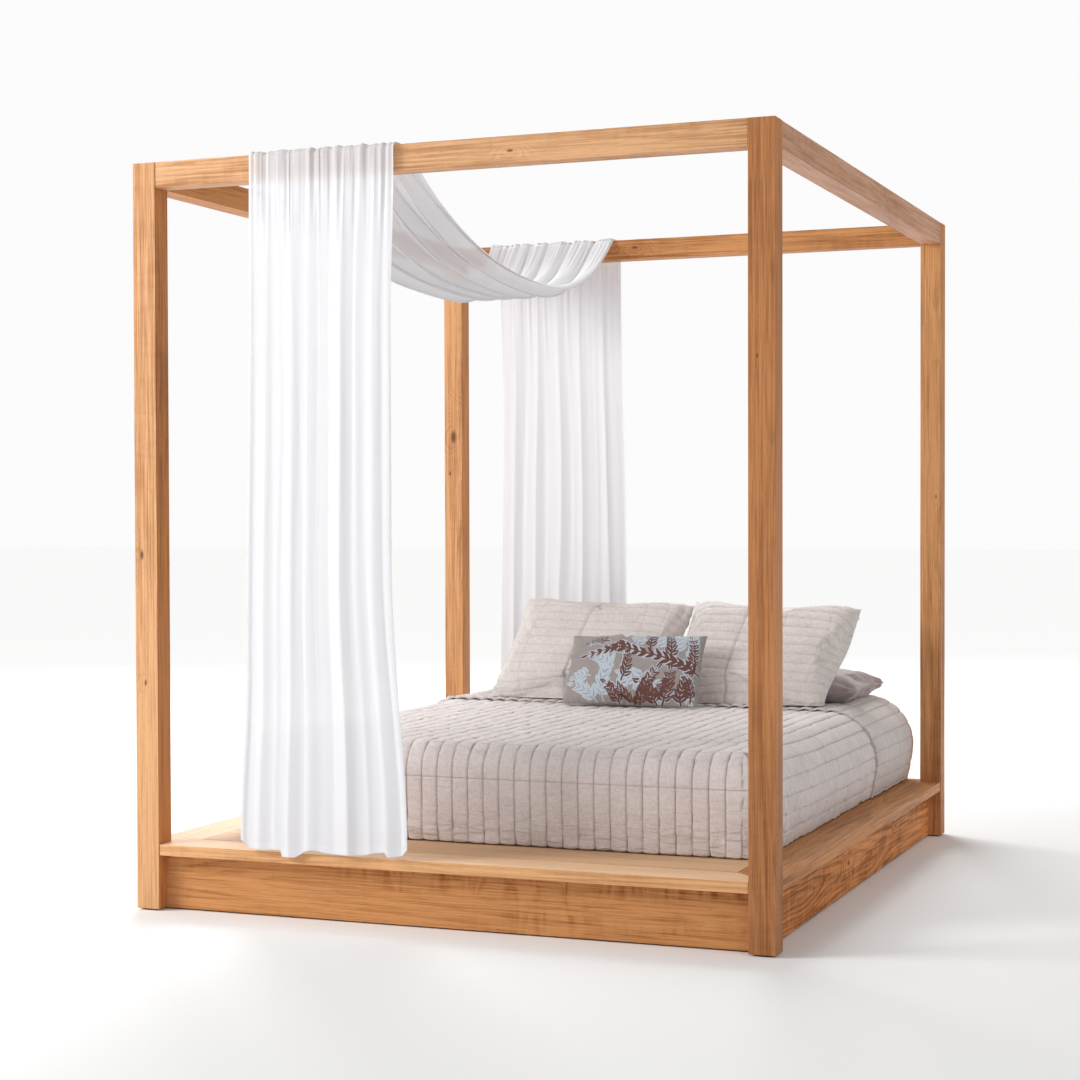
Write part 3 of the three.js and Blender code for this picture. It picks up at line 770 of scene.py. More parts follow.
def make_turn_down():
    cover = Cover(0.0095)
    across = channel_columns(cover.half, (0, 0.03, 0.07, 0.2, 0.5, 0.8, 0.93, 0.97))
    start = fold_low[1] - cover.foot_y + cover.foot_arc
    end = fold_high[1] + 0.004 - cover.foot_y + cover.foot_arc
    along = np.concatenate([
        start + np.array([0, 0.0025, 0.006, 0.011, 0.018]), np.linspace(start + 0.026, end, 84)])
    c, w = np.meshgrid(across, along)
    flat = smoothstep(cover.flat_x + 0.09, cover.flat_x - 0.02, np.abs(c))
    puff = np.sin(np.pi * seam_distance(c, CHANNEL) / CHANNEL) * lerp(0.25, 1.0, flat)
    lip = 0.004 * noise2(c / 0.09, c * 0, 31) + 0.006 * puff
    near = np.exp(-(w - start) / 0.05)
    points, channel, run, _, _ = cover.surface(c, w - lip * near)
    normals = grid_normals(points)
    level = smoothstep(0.35, 0.8, normals[..., 2])
    seam = seam_distance(channel, CHANNEL)
    lane = np.floor(channel / CHANNEL)
    cross = seam_distance(run - start - 0.04, 0.15)
    groove = np.exp(-((seam / 0.0020) ** 2))
    cross_groove = np.exp(-((cross / 0.0036) ** 2))
    crown = np.sin(np.pi * seam / CHANNEL) * (1 - np.exp(-cross / 0.012))
    height = lerp(0.0009, 0.0030, level) * crown - 0.0018 * groove - 0.0018 * cross_groove
    height += 0.0018 * noise2(run / 0.024 + 0.5 * lane, lane * 3.1, 32) * (0.4 + 0.6 * np.exp(-seam / 0.012))
    height += 0.0060 * np.exp(-(w - start) / 0.020) * (puff - 0.35 * lerp(0.25, 1.0, flat))
    height += 0.0035 * fbm(points[..., 0] / 0.3, points[..., 1] / 0.3, 23) * (0.4 + 0.6 * level)
    height += 0.003 * (1 - level) * fbm(run / 0.16, channel / 0.1, 24)
    height += 0.0022 * near * noise2(c / 0.09, c * 0, 33)
    head = smoothstep(end - 0.022, end, w)
    height -= 0.010 * head**2
    points = points + normals * height[..., None]
    hem = cover.half - np.abs(c)
    points[..., 2] -= np.exp(-hem / 0.02) * (np.sin(np.pi * cross / 0.15) - 0.5) * 0.003
    uv = np.stack([channel, run], axis=2)
    # painted shade: the fold's grooves are darkened in the cloth's colour
    painted_shading = np.clip(0.7 * groove + 0.6 * cross_groove, 0, 1)
    fold = rimmed_sheet(
        "quilt_fold", points, normals, uv, 0.0075, {"seam": painted_shading, "pucker": 0.55 + 0.3 * (1 - level)})
    dress(fold, fold_cloth.material, "bedding", "quilt_linen", "quilt_turn_down")


make_quilt()
make_turn_down()


# ---------------------------------------------------------------- mattress


def rounded_box(half, radius, cells):
    """A box as six face grids pushed out to a rounded form, welded along their edges."""
    points, faces = [], []
    for axis in range(3):
        u_axis, v_axis = (axis + 1) % 3, (axis + 2) % 3
        for sign in (-1, 1):
            count_u, count_v = cells[u_axis] + 1, cells[v_axis] + 1
            face = np.zeros((count_u, count_v, 3))
            face[..., u_axis] = np.linspace(-half[u_axis], half[u_axis], count_u)[:, None]
            face[..., v_axis] = np.linspace(-half[v_axis], half[v_axis], count_v)[None, :]
            face[..., axis] = sign * half[axis]
            quads = grid_faces(count_u, count_v, sum(len(p) for p in points))
            faces.append(quads if sign < 0 else quads[:, ::-1])
            points.append(face.reshape(-1, 3))
    points, faces = np.concatenate(points), np.concatenate(faces)
    keys = np.round(points * 1e5).astype(np.int64)
    _, first, inverse = np.unique(keys, axis=0, return_index=True, return_inverse=True)
    points, faces = points[first], inverse.ravel()[faces]
    core = np.clip(points, -(np.array(half) - radius), np.array(half) - radius)
    outward = points - core
    outward /= np.maximum(np.linalg.norm(outward, axis=1, keepdims=True), 1e-9)
    return core + outward * radius, outward, faces


def tube(name, path, radius, sides=10):
    """A closed tube along a loop of points."""
    path = np.asarray(path)
    ahead = np.roll(path, -1, axis=0) - np.roll(path, 1, axis=0)
    ahead /= np.linalg.norm(ahead, axis=1, keepdims=True)
    up = np.tile([0.0, 0.0, 1.0], (len(path), 1))
    out = np.cross(ahead, up)
    out /= np.linalg.norm(out, axis=1, keepdims=True)
    angles = np.linspace(0, 2 * math.pi, sides, endpoint=False)
    rings = path[:, None] + radius * (
        np.cos(angles)[None, :, None] * out[:, None] + np.sin(angles)[None, :, None] * up[:, None])
    count = len(path)
    i, j = np.meshgrid(np.arange(count), np.arange(sides), indexing="ij")
    i2, j2 = (i + 1) % count, (j + 1) % sides
    faces = np.stack([i * sides + j, i2 * sides + j, i2 * sides + j2, i * sides + j2], axis=-1).reshape(-1, 4)
    length = np.cumsum(np.linalg.norm(np.roll(path, -1, axis=0) - path, axis=1))
    uv = np.stack([np.repeat(length, sides), np.tile(angles * radius, count)], axis=1)
    return mesh_object(name, rings.reshape(-1, 3), faces, uv)


WELT_INSET = 0.032  # from the mattress's top or bottom to its welt
MATTRESS_ROUND = 0.07
TUFT_PITCH = 0.2


def make_mattress():
    middle = (mattress_low + mattress_high) / 2
    half = (mattress_high - mattress_low) / 2 - 0.004
    radius = MATTRESS_ROUND
    points, outward, faces = rounded_box(half, radius, (88, 110, 18))
    flat_top = np.abs(outward[:, 2]) > 0.7
    tuft_x, tuft_y = (seam_distance(points[:, k], TUFT_PITCH) for k in (0, 1))
    dimple = np.exp(-((tuft_x**2 + tuft_y**2) / 0.03**2))
    height = np.where(flat_top, -0.010 * dimple, 0.0)
    ridge = np.where(flat_top, 0, 0.0018 * np.sin(points[:, 2] * 2 * math.pi / 0.05))
    points = points + outward * (height + ridge)[:, None] + middle
    uv = np.where(
        (np.abs(outward[:, 0]) > 0.5)[:, None], points[:, [1, 2]],
        np.where((np.abs(outward[:, 1]) > 0.5)[:, None], points[:, [0, 2]], points[:, [0, 1]]))
    body = mesh_object("mattress_body", points, faces, uv)
    dress(body, ticking.material, "bedding", "ticking", "mattress")
    angles = np.linspace(0, 2 * math.pi, 400, endpoint=False)
    core = half[:2] - radius
    welt_z = half[2] - WELT_INSET
    for name, z in (("mattress_welt_top", middle[2] + welt_z), ("mattress_welt_bottom", middle[2] - welt_z)):
        reach = radius * math.sqrt(1 - ((half[2] - radius - welt_z) / radius) ** 2)
        direction = np.stack([np.cos(angles), np.sin(angles)], axis=1)
        loop = np.sign(direction) * core + direction * (reach + 0.001)
        spread = []
        for k in range(len(loop)):
            a, b = loop[k], loop[(k + 1) % len(loop)]
            steps = max(1, int(np.linalg.norm(b - a) / 0.02))
            spread += [a + (b - a) * t / steps for t in range(steps)]
        spread = np.array(spread) + middle[:2]
        path = np.column_stack([spread, np.full(len(spread), z)])
        welt = tube(name, path, 0.004)
        dress(welt, ticking.material, "bedding", "ticking")


make_mattress()


# ---------------------------------------------------------------- cushions


def upsample(grid, factor):
    """A finer grid through the same points, by cubic curves along each direction in turn."""
    for axis in (0, 1):
        count = grid.shape[axis]
        fine = np.linspace(0, count - 1, (count - 1) * factor + 1)
        k = np.clip(np.floor(fine).astype(int), 0, count - 2)
        t = (fine - k).reshape([-1 if a == axis else 1 for a in range(3)])
        padded = np.concatenate([
            2 * np.take(grid, [0], axis) - np.take(grid, [1], axis), grid,
            2 * np.take(grid, [count - 1], axis) - np.take(grid, [count - 2], axis)], axis=axis)
        p0, p1, p2, p3 = (np.take(padded, k + j, axis) for j in range(4))
        grid = 0.5 * (
            2 * p1 + (p2 - p0) * t + (2 * p0 - 5 * p1 + 4 * p2 - p3) * t**2
            + (3 * p1 - p0 - 3 * p2 + p3) * t**3)
    return grid


def envelope(width, height, thickness, columns, rows, seed):
    """Two crowned faces that share their edge, as grids of points."""
    u = np.linspace(-1, 1, columns)[None, :]
    v = np.linspace(-1, 1, rows)[:, None]
    crown = ((1 - np.abs(u) ** 2.6) * (1 - np.abs(v) ** 2.6)) ** 0.7
    pull = 0.045
    x = width / 2 * u * (1 - pull * (1 - v**2))
    y = height / 2 * v * (1 - pull * (1 - u**2))
    uneven = 1 + 0.12 * noise2(u * 2.2 + 5, v * 2.2, seed)
    z = thickness / 2 * crown * uneven
    return np.stack([x, y, z], axis=2), np.stack([x, y, -z * 0.9], axis=2)


def shell(front, back):
    """Vertices and faces of two grids joined along their shared edge."""
    rows, columns = front.shape[:2]
    index = np.arange(rows * columns).reshape(rows, columns)
    inside = np.zeros((rows, columns), bool)
    inside[1:-1, 1:-1] = True
    behind = index.copy()
    behind[inside] = rows * columns + np.arange(inside.sum())
    points = np.concatenate([front.reshape(-1, 3), back[inside]])
    front_faces = grid_faces(rows, columns)
    back_faces = behind.ravel()[front_faces][:, ::-1]
    return points, np.concatenate([front_faces, back_faces]), behind


def inflate(name, front, back, pressure, frames, stiffness):
    """Blows the envelope up as cloth and returns its two grids again."""
    points, faces, behind = shell(front, back)
    bag = mesh_object(name, points, faces)
    cloth = bag.modifiers.new("cloth", "CLOTH")
    settings = cloth.settings
    settings.quality = 6
    settings.mass = 0.25
    settings.tension_stiffness = stiffness
    settings.compression_stiffness = stiffness
    settings.shear_stiffness = stiffness * 0.5
    settings.bending_stiffness = 0.6
    settings.tension_damping = 12
    settings.compression_damping = 12
    settings.shear_damping = 8
    settings.air_damping = 3
    settings.use_pressure = True
    settings.uniform_pressure_force = pressure
    settings.effector_weights.gravity = 0
    cloth.collision_settings.use_collision = False
    cloth.point_cache.frame_start = 1
    cloth.point_cache.frame_end = frames + 1
    for step in range(1, frames + 1):
        scene.frame_set(step)
    blown = bag.evaluated_get(bpy.context.evaluated_depsgraph_get())
    moved = np.zeros(len(points) * 3)
    blown.data.vertices.foreach_get("co", moved)
    moved = moved.reshape(-1, 3)
    bpy.data.objects.remove(bag)
    scene.frame_set(1)
    cap = 0.045
    step = moved - points
    far = np.linalg.norm(step, axis=1, keepdims=True)
    moved = points + step * np.minimum(1, cap / np.maximum(far, 1e-9))
    rows, columns = front.shape[:2]
    return moved[: rows * columns].reshape(rows, columns, 3), moved[behind.ravel()].reshape(rows, columns, 3)


def square_up(front, back, width, height, pull):
    """Draws the blown-up outline out again to nearly straight seams between full corners."""
    rows, columns = front.shape[:2]
    u = np.linspace(-1, 1, columns)
    v = np.linspace(-1, 1, rows)
    for grid in (front, back):
        half_x = width / 2 * (1 - pull * (1 - v**2))
        half_y = height / 2 * (1 - pull * (1 - u**2))
        left, right = front[:, 0, 0].copy(), front[:, -1, 0].copy()
        low, high = front[0, :, 1].copy(), front[-1, :, 1].copy()
        share = (grid[..., 0] - left[:, None]) / (right - left)[:, None]
        x = lerp(-half_x[:, None], half_x[:, None], share)
        share = (grid[..., 1] - low[None, :]) / (high - low)[None, :]
        y = lerp(-half_y[None, :], half_y[None, :], share)
        yield np.stack([x, y, grid[..., 2]], axis=2)


def calm_edges(front, back, reach):
    """Irons the waves out of the seam the two faces share, and blends that into both."""
    z = front[..., 2]
    rows, columns = z.shape
    i, j = np.arange(rows)[:, None], np.arange(columns)[None, :]

    def ironed(line):
        smooth = line
        for _ in range(30):
            inner = (smooth[:-2] + 2 * smooth[1:-1] + smooth[2:]) / 4
            smooth = np.concatenate([smooth[:1], inner, smooth[-1:]])
        return smooth - line

    change = ironed(z[0])[None, :] * np.exp(-i / reach)
    change = change + ironed(z[-1])[None, :] * np.exp(-(rows - 1 - i) / reach)
    change = change + ironed(z[:, 0])[:, None] * np.exp(-j / reach)
    change = change + ironed(z[:, -1])[:, None] * np.exp(-(columns - 1 - j) / reach)
    lift = np.stack([0 * change, 0 * change, change], axis=2)
    return front + lift, back + lift


def fit_to(front, back, width, height, thickness):
    """Scales the two faces so that the cushion has its real outside size."""
    both = np.concatenate([front.reshape(-1, 3), back.reshape(-1, 3)])
    low, high = both.min(0), both.max(0)
    scale = np.array([width, height, thickness]) / (high - low)
    middle = (low + high) / 2
    return (front - middle) * scale, (back - middle) * scale


def cushion_turn(lean, roll):
    return np.array(
        Matrix.Rotation(math.radians(lean), 3, "X") @ Matrix.Rotation(math.radians(roll), 3, "Z"))


def cushion_faces(size, seed, fineness, pull, pressure=4.0, stiffness=14.0):
    """The two faces of a cushion, blown up from a slightly thinner form, and its cloth coordinates."""
    width, height, thickness = size
    columns, rows = round(width / 0.013) | 1, round(height / 0.013) | 1
    front, back = envelope(width, height, thickness * 0.86, columns, rows, seed)
    front, back = inflate("cushion_bag", front, back, pressure, 20, stiffness)
    front, back = square_up(front, back, width, height, pull)
    front, back = calm_edges(front, back, 2.5)
    front, back = fit_to(front, back, width, height, thickness)
    front, back = upsample(front, fineness), upsample(back, fineness)
    u = np.linspace(-width / 2, width / 2, front.shape[1])[None, :]
    v = np.linspace(-height / 2, height / 2, front.shape[0])[:, None]
    u, v = np.broadcast_arrays(u, v)
    return front, back, u, v


def from_edge(u, v, size):
    """How far each point of a cushion's face is from the edge seam."""
    return np.minimum(size[0] / 2 - np.abs(u), size[1] / 2 - np.abs(v))


def face_sign(grid, facing=1):
    """Plus or minus one, so that a displacement points out of the cushion."""
    normals = grid_normals(grid)
    return facing * (1 if normals[..., 2].mean() > 0 else -1)


def relief(front, back, height):
    """Both faces of a cushion, pushed outward by a height at each point."""
    return (
        front + grid_normals(front) * height[..., None] * face_sign(front),
        back + grid_normals(back) * height[..., None] * face_sign(back, -1))


def edge_puckers(u, v, size, seed, amount, wave=0.013):
    """Small gathers that run in from the edge seam."""
    width, height, _ = size
    from_side = from_edge(u, v, size)
    along = np.where(width / 2 - np.abs(u) < height / 2 - np.abs(v), v, u)
    fade = np.exp(-from_side / 0.035) * smoothstep(0.0, 0.006, from_side)
    tight = noise2(along / wave, from_side * 9, seed)
    return amount * fade * (tight + 0.5 * noise2(along / (wave * 2.3), 0 * along, seed + 1))


def place_cushion(points, size_turn, node, sink):
    """Turns the cushion, and sets it where its CAD solid is, sunk a little below its resting level."""
    low, high = (np.array(v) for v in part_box(node))
    turned = points @ size_turn.T
    middle = (turned.min(0) + turned.max(0)) / 2
    target = (low + high) / 2
    moved = turned + (target - middle)
    moved[:, 2] += low[2] - sink - moved[:, 2].min()
    return moved


def settle(points, level, reach, spread):
    """Flattens what lies under a cushion's resting level, and lets it spread a little."""
    z = points[:, 2] - level
    pressed = np.where(z < reach, reach * (np.clip(z, 0, reach) / reach) ** 1.6, z)
    gone = np.clip(z - pressed, 0, None)
    middle = points[:, :2].mean(0)
    outward = points[:, :2] - middle
    outward /= np.maximum(np.linalg.norm(outward, axis=1, keepdims=True), 1e-9)
    points = points.copy()
    points[:, 2] = level + pressed
    points[:, :2] += outward * (gone * spread)[:, None]
    return points


def cushion_object(name, front, back, u, v, seam, turn, node, extra=None, reach=0.03, sink=0.010):
    points, faces, behind = shell(front, back)
    flat = place_cushion(points, turn, node, sink)
    flat = settle(flat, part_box(node)[0][2], reach, 0.25)
    rows, columns = u.shape
    inside = behind.ravel() >= rows * columns
    uv = np.stack([u, v], axis=2).reshape(-1, 2)
    uv = np.concatenate([uv, uv[inside]])
    values = {
        "seam": np.concatenate([seam.ravel(), seam.ravel()[inside]]), "pucker": np.full(len(flat), 0.35)}
    for key, value in (extra or {}).items():
        values[key] = np.concatenate([value.ravel(), np.full(inside.sum(), 0.05)])
    return mesh_object(name, flat, faces, uv, values)


SHAM_ROW = 0.036  # pitch of the shams' quilted rows
SHAM_LEAN = 43  # degrees each face is raised from lying flat
ACCENT_LEAN = 58


def make_sham(side, seed, width, roll, seam_x, right_crush, tuck):
    node = f"sham_{side}"
    size = (width, 0.490, 0.140)
    height = size[1]
    front, back, u, v = cushion_faces(size, seed, 4, 0.018)
    bow = 0.012 * np.cos(np.pi * u / width) * (v / height)
    row = seam_distance(v + bow + 0.004 * noise2(u / 0.2, v / 0.2, seed), SHAM_ROW)
    column = np.min([np.abs(u - x - 0.004 * noise2(v / 0.1, v * 0, seed + 3)) for x in seam_x], axis=0)
    strong = np.abs(u - seam_x[0] - 0.010 * np.sin(v * 6 + 0.6))
    row_groove, column_groove = np.exp(-((row / 0.0030) ** 2)), np.exp(-((column / 0.0030) ** 2))
    strong_groove = np.exp(-((strong / 0.0034) ** 2))
    crown = np.sin(np.pi * row / SHAM_ROW)
    height_map = 0.0018 * crown - 0.0016 * row_groove - 0.0010 * column_groove - 0.0034 * strong_groove
    height_map += 0.0010 * noise2(u / 0.012, np.floor(v / SHAM_ROW) * 3.3, seed + 5) * np.exp(-row / 0.010)
    height_map += 0.0028 * fbm(u / 0.16, v / 0.09, seed + 6)
    height_map += edge_puckers(u, v, size, seed + 7, 0.0010, 0.030)
    low = smoothstep(-0.08, -height / 2, v)
    height_map += 0.0026 * low * noise2(u / 0.035, v / 0.25, seed + 8)
    crush = smoothstep(width / 2 - 0.13, width / 2 - 0.02, u) * right_crush
    pleat = np.sin((u - 0.15 * v) / 0.0085)
    pleat = pleat * smoothstep(-0.2, 0.1, v) * smoothstep(height / 2, height / 2 - 0.07, v)
    height_map += crush * (0.0036 * pleat + 0.002 * noise2(u / 0.02, v / 0.06, seed + 9))
    edge = from_edge(u, v, size)
    height_map *= 0.25 + 0.75 * smoothstep(0.0, 0.035, edge)
    height_map -= 0.0016 * np.exp(-(((edge - 0.009) / 0.0028) ** 2))
    height_map *= smoothstep(0, 0.004, edge)
    front, back = relief(front, back, height_map)
    # painted shade: rows, columns and the strong crease are darkened in the cloth's colour
    painted_shading = np.clip(0.55 * row_groove + 0.35 * column_groove + 0.9 * strong_groove, 0, 1)
    low_right = (smoothstep(-0.1, width / 2, u) * smoothstep(0.1, -height / 2, v))[..., None]
    front, back = front + low_right * np.array(tuck), back + low_right * np.array(tuck)
    sham = cushion_object(
        f"sham_{side}_cover", front, back, u, v, painted_shading, cushion_turn(SHAM_LEAN, roll), node, sink=0.022)
    dress(sham, sham_cloth.material, f"{side}_sham", "sham_linen", node)


make_sham("left", 101, 0.642, -2, (-0.035, 0.155, 0.225, -0.2), 1.0, (0, 0, 0))
make_sham("right", 131, 0.600, -2, (-0.075, 0.06, 0.2, -0.22), 0.2, (-0.045, 0.020, -0.012))


def make_sleeping_pillow(side, seed):
    size = (0.650, 0.430, 0.112)
    node = f"pillow_{side}"
    front, back, u, v = cushion_faces(size, seed, 3, 0.07, pressure=5.0)
    width, height, _ = size
    folds = edge_puckers(u, v, size, seed, 0.004, 0.020)
    for sx in (-1, 1):
        for sy in (-1, 1):
            du, dv = sx * width / 2 - u, sy * height / 2 - v
            far = np.hypot(du, dv)
            angle = np.arctan2(np.abs(dv), np.abs(du))
            fade = np.exp(-far / 0.13) * smoothstep(0.01, 0.05, far)
            folds += 0.007 * fade * np.sin(angle * 11 + sx + 2 * sy)
    folds += 0.004 * fbm(u / 0.14, v / 0.14, seed + 4)
    edge = from_edge(u, v, size)
    folds *= smoothstep(0, 0.006, edge)
    front, back = relief(front, back, folds)
    # the edge seam's shade mask, stored as the seam attribute, which this cloth's material does not read
    painted_shading = np.exp(-((edge / 0.002) ** 2))
    pillow = cushion_object(
        f"sleeping_pillow_{side}", front, back, u, v, painted_shading, cushion_turn(0, 0), node, reach=0.02)
    dress(pillow, sateen.material, "bedding", "satin", node)


make_sleeping_pillow("left", 151)
make_sleeping_pillow("right", 161)


# ---------------------------------------------------------------- the printed accent cushion

ACCENT = (0.484, 0.276, 0.110)


def leaf(x, y, root, angle, length, width, bend=0.0, rib=0.0):
    """Distance outside one leaf, negative inside, with an open midrib where rib is its half width."""
    a = math.radians(angle)
    dx, dy = x - root[0], y - root[1]
    along = dx * math.cos(a) + dy * math.sin(a)
    across = -dx * math.sin(a) + dy * math.cos(a) - bend * length * (along / length) ** 2
    t = np.clip(along / length, 0, 1)
    half = width * np.sin(np.pi * t**0.75) ** 0.85
    outside = np.maximum(np.maximum(-along, along - length), 0)
    inside = np.maximum(half - np.abs(across), 0) * (outside <= 0)
    distance = np.hypot(np.maximum(np.abs(across) - half, 0), outside) - inside
    if rib:
        distance = np.maximum(distance, rib * (1.1 - t) - np.abs(across))
    return distance


def stem(x, y, points, width):
    """Distance outside a stem drawn through a few points, tapering to its tip."""
    best = np.full(x.shape, 1.0)
    count = len(points) - 1
    for k, ((x0, y0), (x1, y1)) in enumerate(zip(points[:-1], points[1:])):
        dx, dy = x1 - x0, y1 - y0
        t = np.clip(((x - x0) * dx + (y - y0) * dy) / (dx * dx + dy * dy), 0, 1)
        best = np.minimum(best, np.hypot(x - x0 - t * dx, y - y0 - t * dy) - width * (1 - 0.6 * k / count))
    return best


def spray(
        x, y, root, angle, reach, curl, pairs, leaf_length, leaf_width, lean=50, rib=0.0, width=0.0022):
    """A curling stem with leaves in pairs, shorter toward its tip."""
    path, heading = [root], angle
    for _ in range(pairs + 1):
        step = reach / (pairs + 1)
        path.append((
            path[-1][0] + step * math.cos(math.radians(heading)),
            path[-1][1] + step * math.sin(math.radians(heading))))
        heading += curl / (pairs + 1)
    best = stem(x, y, path, width)
    for k in range(1, pairs + 1):
        ahead = angle + curl * k / (pairs + 1)
        grow = 1 - 0.45 * k / (pairs + 1)
        for hand in (-1, 1):
            wag = 6 * math.sin(5.1 * k + hand)
            best = np.minimum(best, leaf(
                x, y, path[k], ahead + hand * lean + wag, leaf_length * grow, leaf_width * grow,
                -0.16 * hand, rib))
    return np.minimum(best, leaf(
        x, y, path[-1], angle + curl, leaf_length * 0.7, leaf_width * 0.7, 0.1, rib))


def print_fields(u, v):
    """Distances to the print's pale blue and brown shapes, negative inside them."""
    x = u + 0.0016 * noise2(u / 0.016, v / 0.016, 71)
    y = v + 0.0016 * noise2(u / 0.016, v / 0.016, 72)
    blue = np.full(x.shape, 1.0)
    for root, angle, reach, curl, pairs, length, width in (
        ((-0.105, -0.125), 128, 0.10, 40, 4, 0.040, 0.0085),
        ((-0.085, -0.120), 96, 0.12, -34, 4, 0.042, 0.0090),
        ((-0.125, -0.040), 165, 0.055, 40, 3, 0.034, 0.0075),
        ((-0.060, -0.030), 118, 0.090, 50, 4, 0.036, 0.0080),
        ((-0.045, -0.120), 60, 0.10, 30, 3, 0.036, 0.0085),
        ((0.015, 0.045), 96, 0.085, -40, 4, 0.036, 0.0080),
        ((0.075, 0.040), 70, 0.095, 44, 4, 0.040, 0.0085),
        ((0.135, 0.030), 84, 0.105, -30, 4, 0.042, 0.0090),
        ((0.190, 0.000), 78, 0.130, 24, 5, 0.036, 0.0085),
        ((0.060, -0.020), 210, 0.080, -50, 3, 0.040, 0.0085),
        ((0.120, -0.030), 250, 0.080, 30, 3, 0.040, 0.0085),
        ((0.190, -0.050), 280, 0.070, 20, 3, 0.038, 0.0085),
    ):
        blue = np.minimum(blue, spray(
            x, y, root, angle, reach, curl, pairs, length * 1.2, width * 1.3, 50, 0.0020))
    brown = spray(x, y, (0.232, -0.030), 152, 0.395, 40, 15, 0.040, 0.0066, 42, 0.0, 0.0034)
    for root, angle, reach, curl, pairs, length, width in (
        ((-0.085, 0.070), 150, 0.075, 55, 4, 0.022, 0.0050),
        ((-0.015, 0.052), 206, 0.075, -60, 4, 0.024, 0.0055),
        ((0.060, 0.045), 96, 0.070, -46, 4, 0.027, 0.0062),
        ((0.125, 0.020), 82, 0.095, 30, 5, 0.029, 0.0066),
        ((0.190, -0.010), 74, 0.120, 36, 5, 0.030, 0.0066),
        ((0.030, -0.135), 118, 0.100, 46, 5, 0.036, 0.0078),
        ((0.045, -0.135), 84, 0.130, -30, 6, 0.036, 0.0078),
        ((0.105, -0.135), 112, 0.110, 36, 5, 0.036, 0.0078),
        ((0.120, -0.135), 72, 0.120, 30, 5, 0.037, 0.0080),
        ((0.185, -0.135), 104, 0.100, -46, 5, 0.036, 0.0078),
        ((0.150, -0.060), 190, 0.080, 60, 4, 0.030, 0.0066),
        ((-0.030, -0.135), 104, 0.085, 40, 4, 0.032, 0.0072),
        ((-0.020, -0.050), 70, 0.080, 46, 4, 0.028, 0.0062),
        ((0.215, -0.120), 96, 0.080, 40, 4, 0.030, 0.0070),
    ):
        brown = np.minimum(brown, spray(
            x, y, root, angle, reach, curl, pairs, length * 1.1, width * 1.3, 56, 0.0017, 0.0028))
    rim = np.where(noise2(x / 0.05, y / 0.05, 73) > -0.1, brown - 0.0026, 1.0)
    return np.minimum(blue, rim), brown


def printed_cotton():
    s = woven(
        "printed_cotton", linear(157, 149, 146), linear(136, 128, 125), 0.82,
        thread=0.0007, slub=0.6, sheen=0.1)
    ground = s.bsdf.inputs["Base Color"].links[0].from_socket  # the woven colour under the print
    fleck = s.noise(s.vector("MULTIPLY", s.uv(), (700.0, 700.0, 1.0)), 1.0, 2.0)
    blue = s.remap(s.attribute("blue"), -0.0006, 0.0006, 1.0, 0.0)
    brown = s.remap(s.attribute("brown"), -0.0006, 0.0006, 1.0, 0.0)
    blue_ink = s.mix(fleck, linear(194, 206, 216), linear(166, 182, 194))
    brown_ink = s.mix(fleck, linear(114, 74, 67), linear(88, 56, 51))
    s.set(Base_Color=s.mix(brown, s.mix(s.math("MULTIPLY", blue, 0.94), ground, blue_ink), brown_ink))
    return s.material


def make_accent():
    front, back, u, v = cushion_faces(ACCENT, 171, 7, 0.032)
    wrinkle = 0.0022 * fbm(u / 0.1, v / 0.1, 173) + edge_puckers(u, v, ACCENT, 175, 0.0028, 0.011)
    edge = from_edge(u, v, ACCENT)
    wrinkle *= smoothstep(0, 0.004, edge)
    front, back = relief(front, back, wrinkle)
    blue, brown = print_fields(u, v)
    # the edge seam's shade mask, stored as the seam attribute, which this cloth's material does not read
    painted_shading = np.exp(-((edge / 0.002) ** 2))
    accent = cushion_object(
        "accent_cover", front, back, u, v, painted_shading, cushion_turn(ACCENT_LEAN, 1), "accent_cushion",
        {"blue": blue, "brown": brown}, reach=0.02)
    dress(accent, printed_cotton(), "accent", "printed_cotton", "accent_cushion")


make_accent()


# ---------------------------------------------------------------- scarf curtain


SCARF_SHOULDER = 0.014  # radius of the scarf's bend over each arris of a rail
SCARF_TOP = rail_high[2] + 0.006  # the scarf's middle where it lies on the rails
SWAG_START = 0.008  # how far below SCARF_TOP the swag leaves a rail
FOOT_EDGES = (-0.563, -0.115)  # where the scarf's left and right edges cross the foot rail
HEAD_EDGES = (-0.749, -0.262)  # and the head rail
HEM_HEIGHT = 0.2
FULL_HANG_HEIGHT = 2.06  # above this the drops' rows are closer, for the gathers under the rail
DROP_ROWS, GATHER_ROWS, SWAG_ROWS = 150, 14, 190


def scarf_sag():
    """How far the CAD scarf's middle hangs below SCARF_TOP, half way along the bed."""
    points = np.array([vertex.co for vertex in nodes["scarf_curtain"].data.vertices])
    away = np.abs(points[:, 1])
    halfway = points[away < away.min() + 0.001, 2]
    return SCARF_TOP - (halfway.min() + halfway.max()) / 2


def hang(t, sag, low_at, foot_fullness, head_fullness):
    """How far below SCARF_TOP one edge of the swag is, from the foot rail at 0 to the head rail at 1.

    The edge is lowest at low_at. A fullness of 2 is a parabola, and a higher one hangs fuller.
    """
    if t < low_at:
        rise = ((low_at - t) / low_at) ** foot_fullness
    else:
        rise = ((t - low_at) / (1 - low_at)) ** head_fullness
    return sag - (sag - SWAG_START) * rise


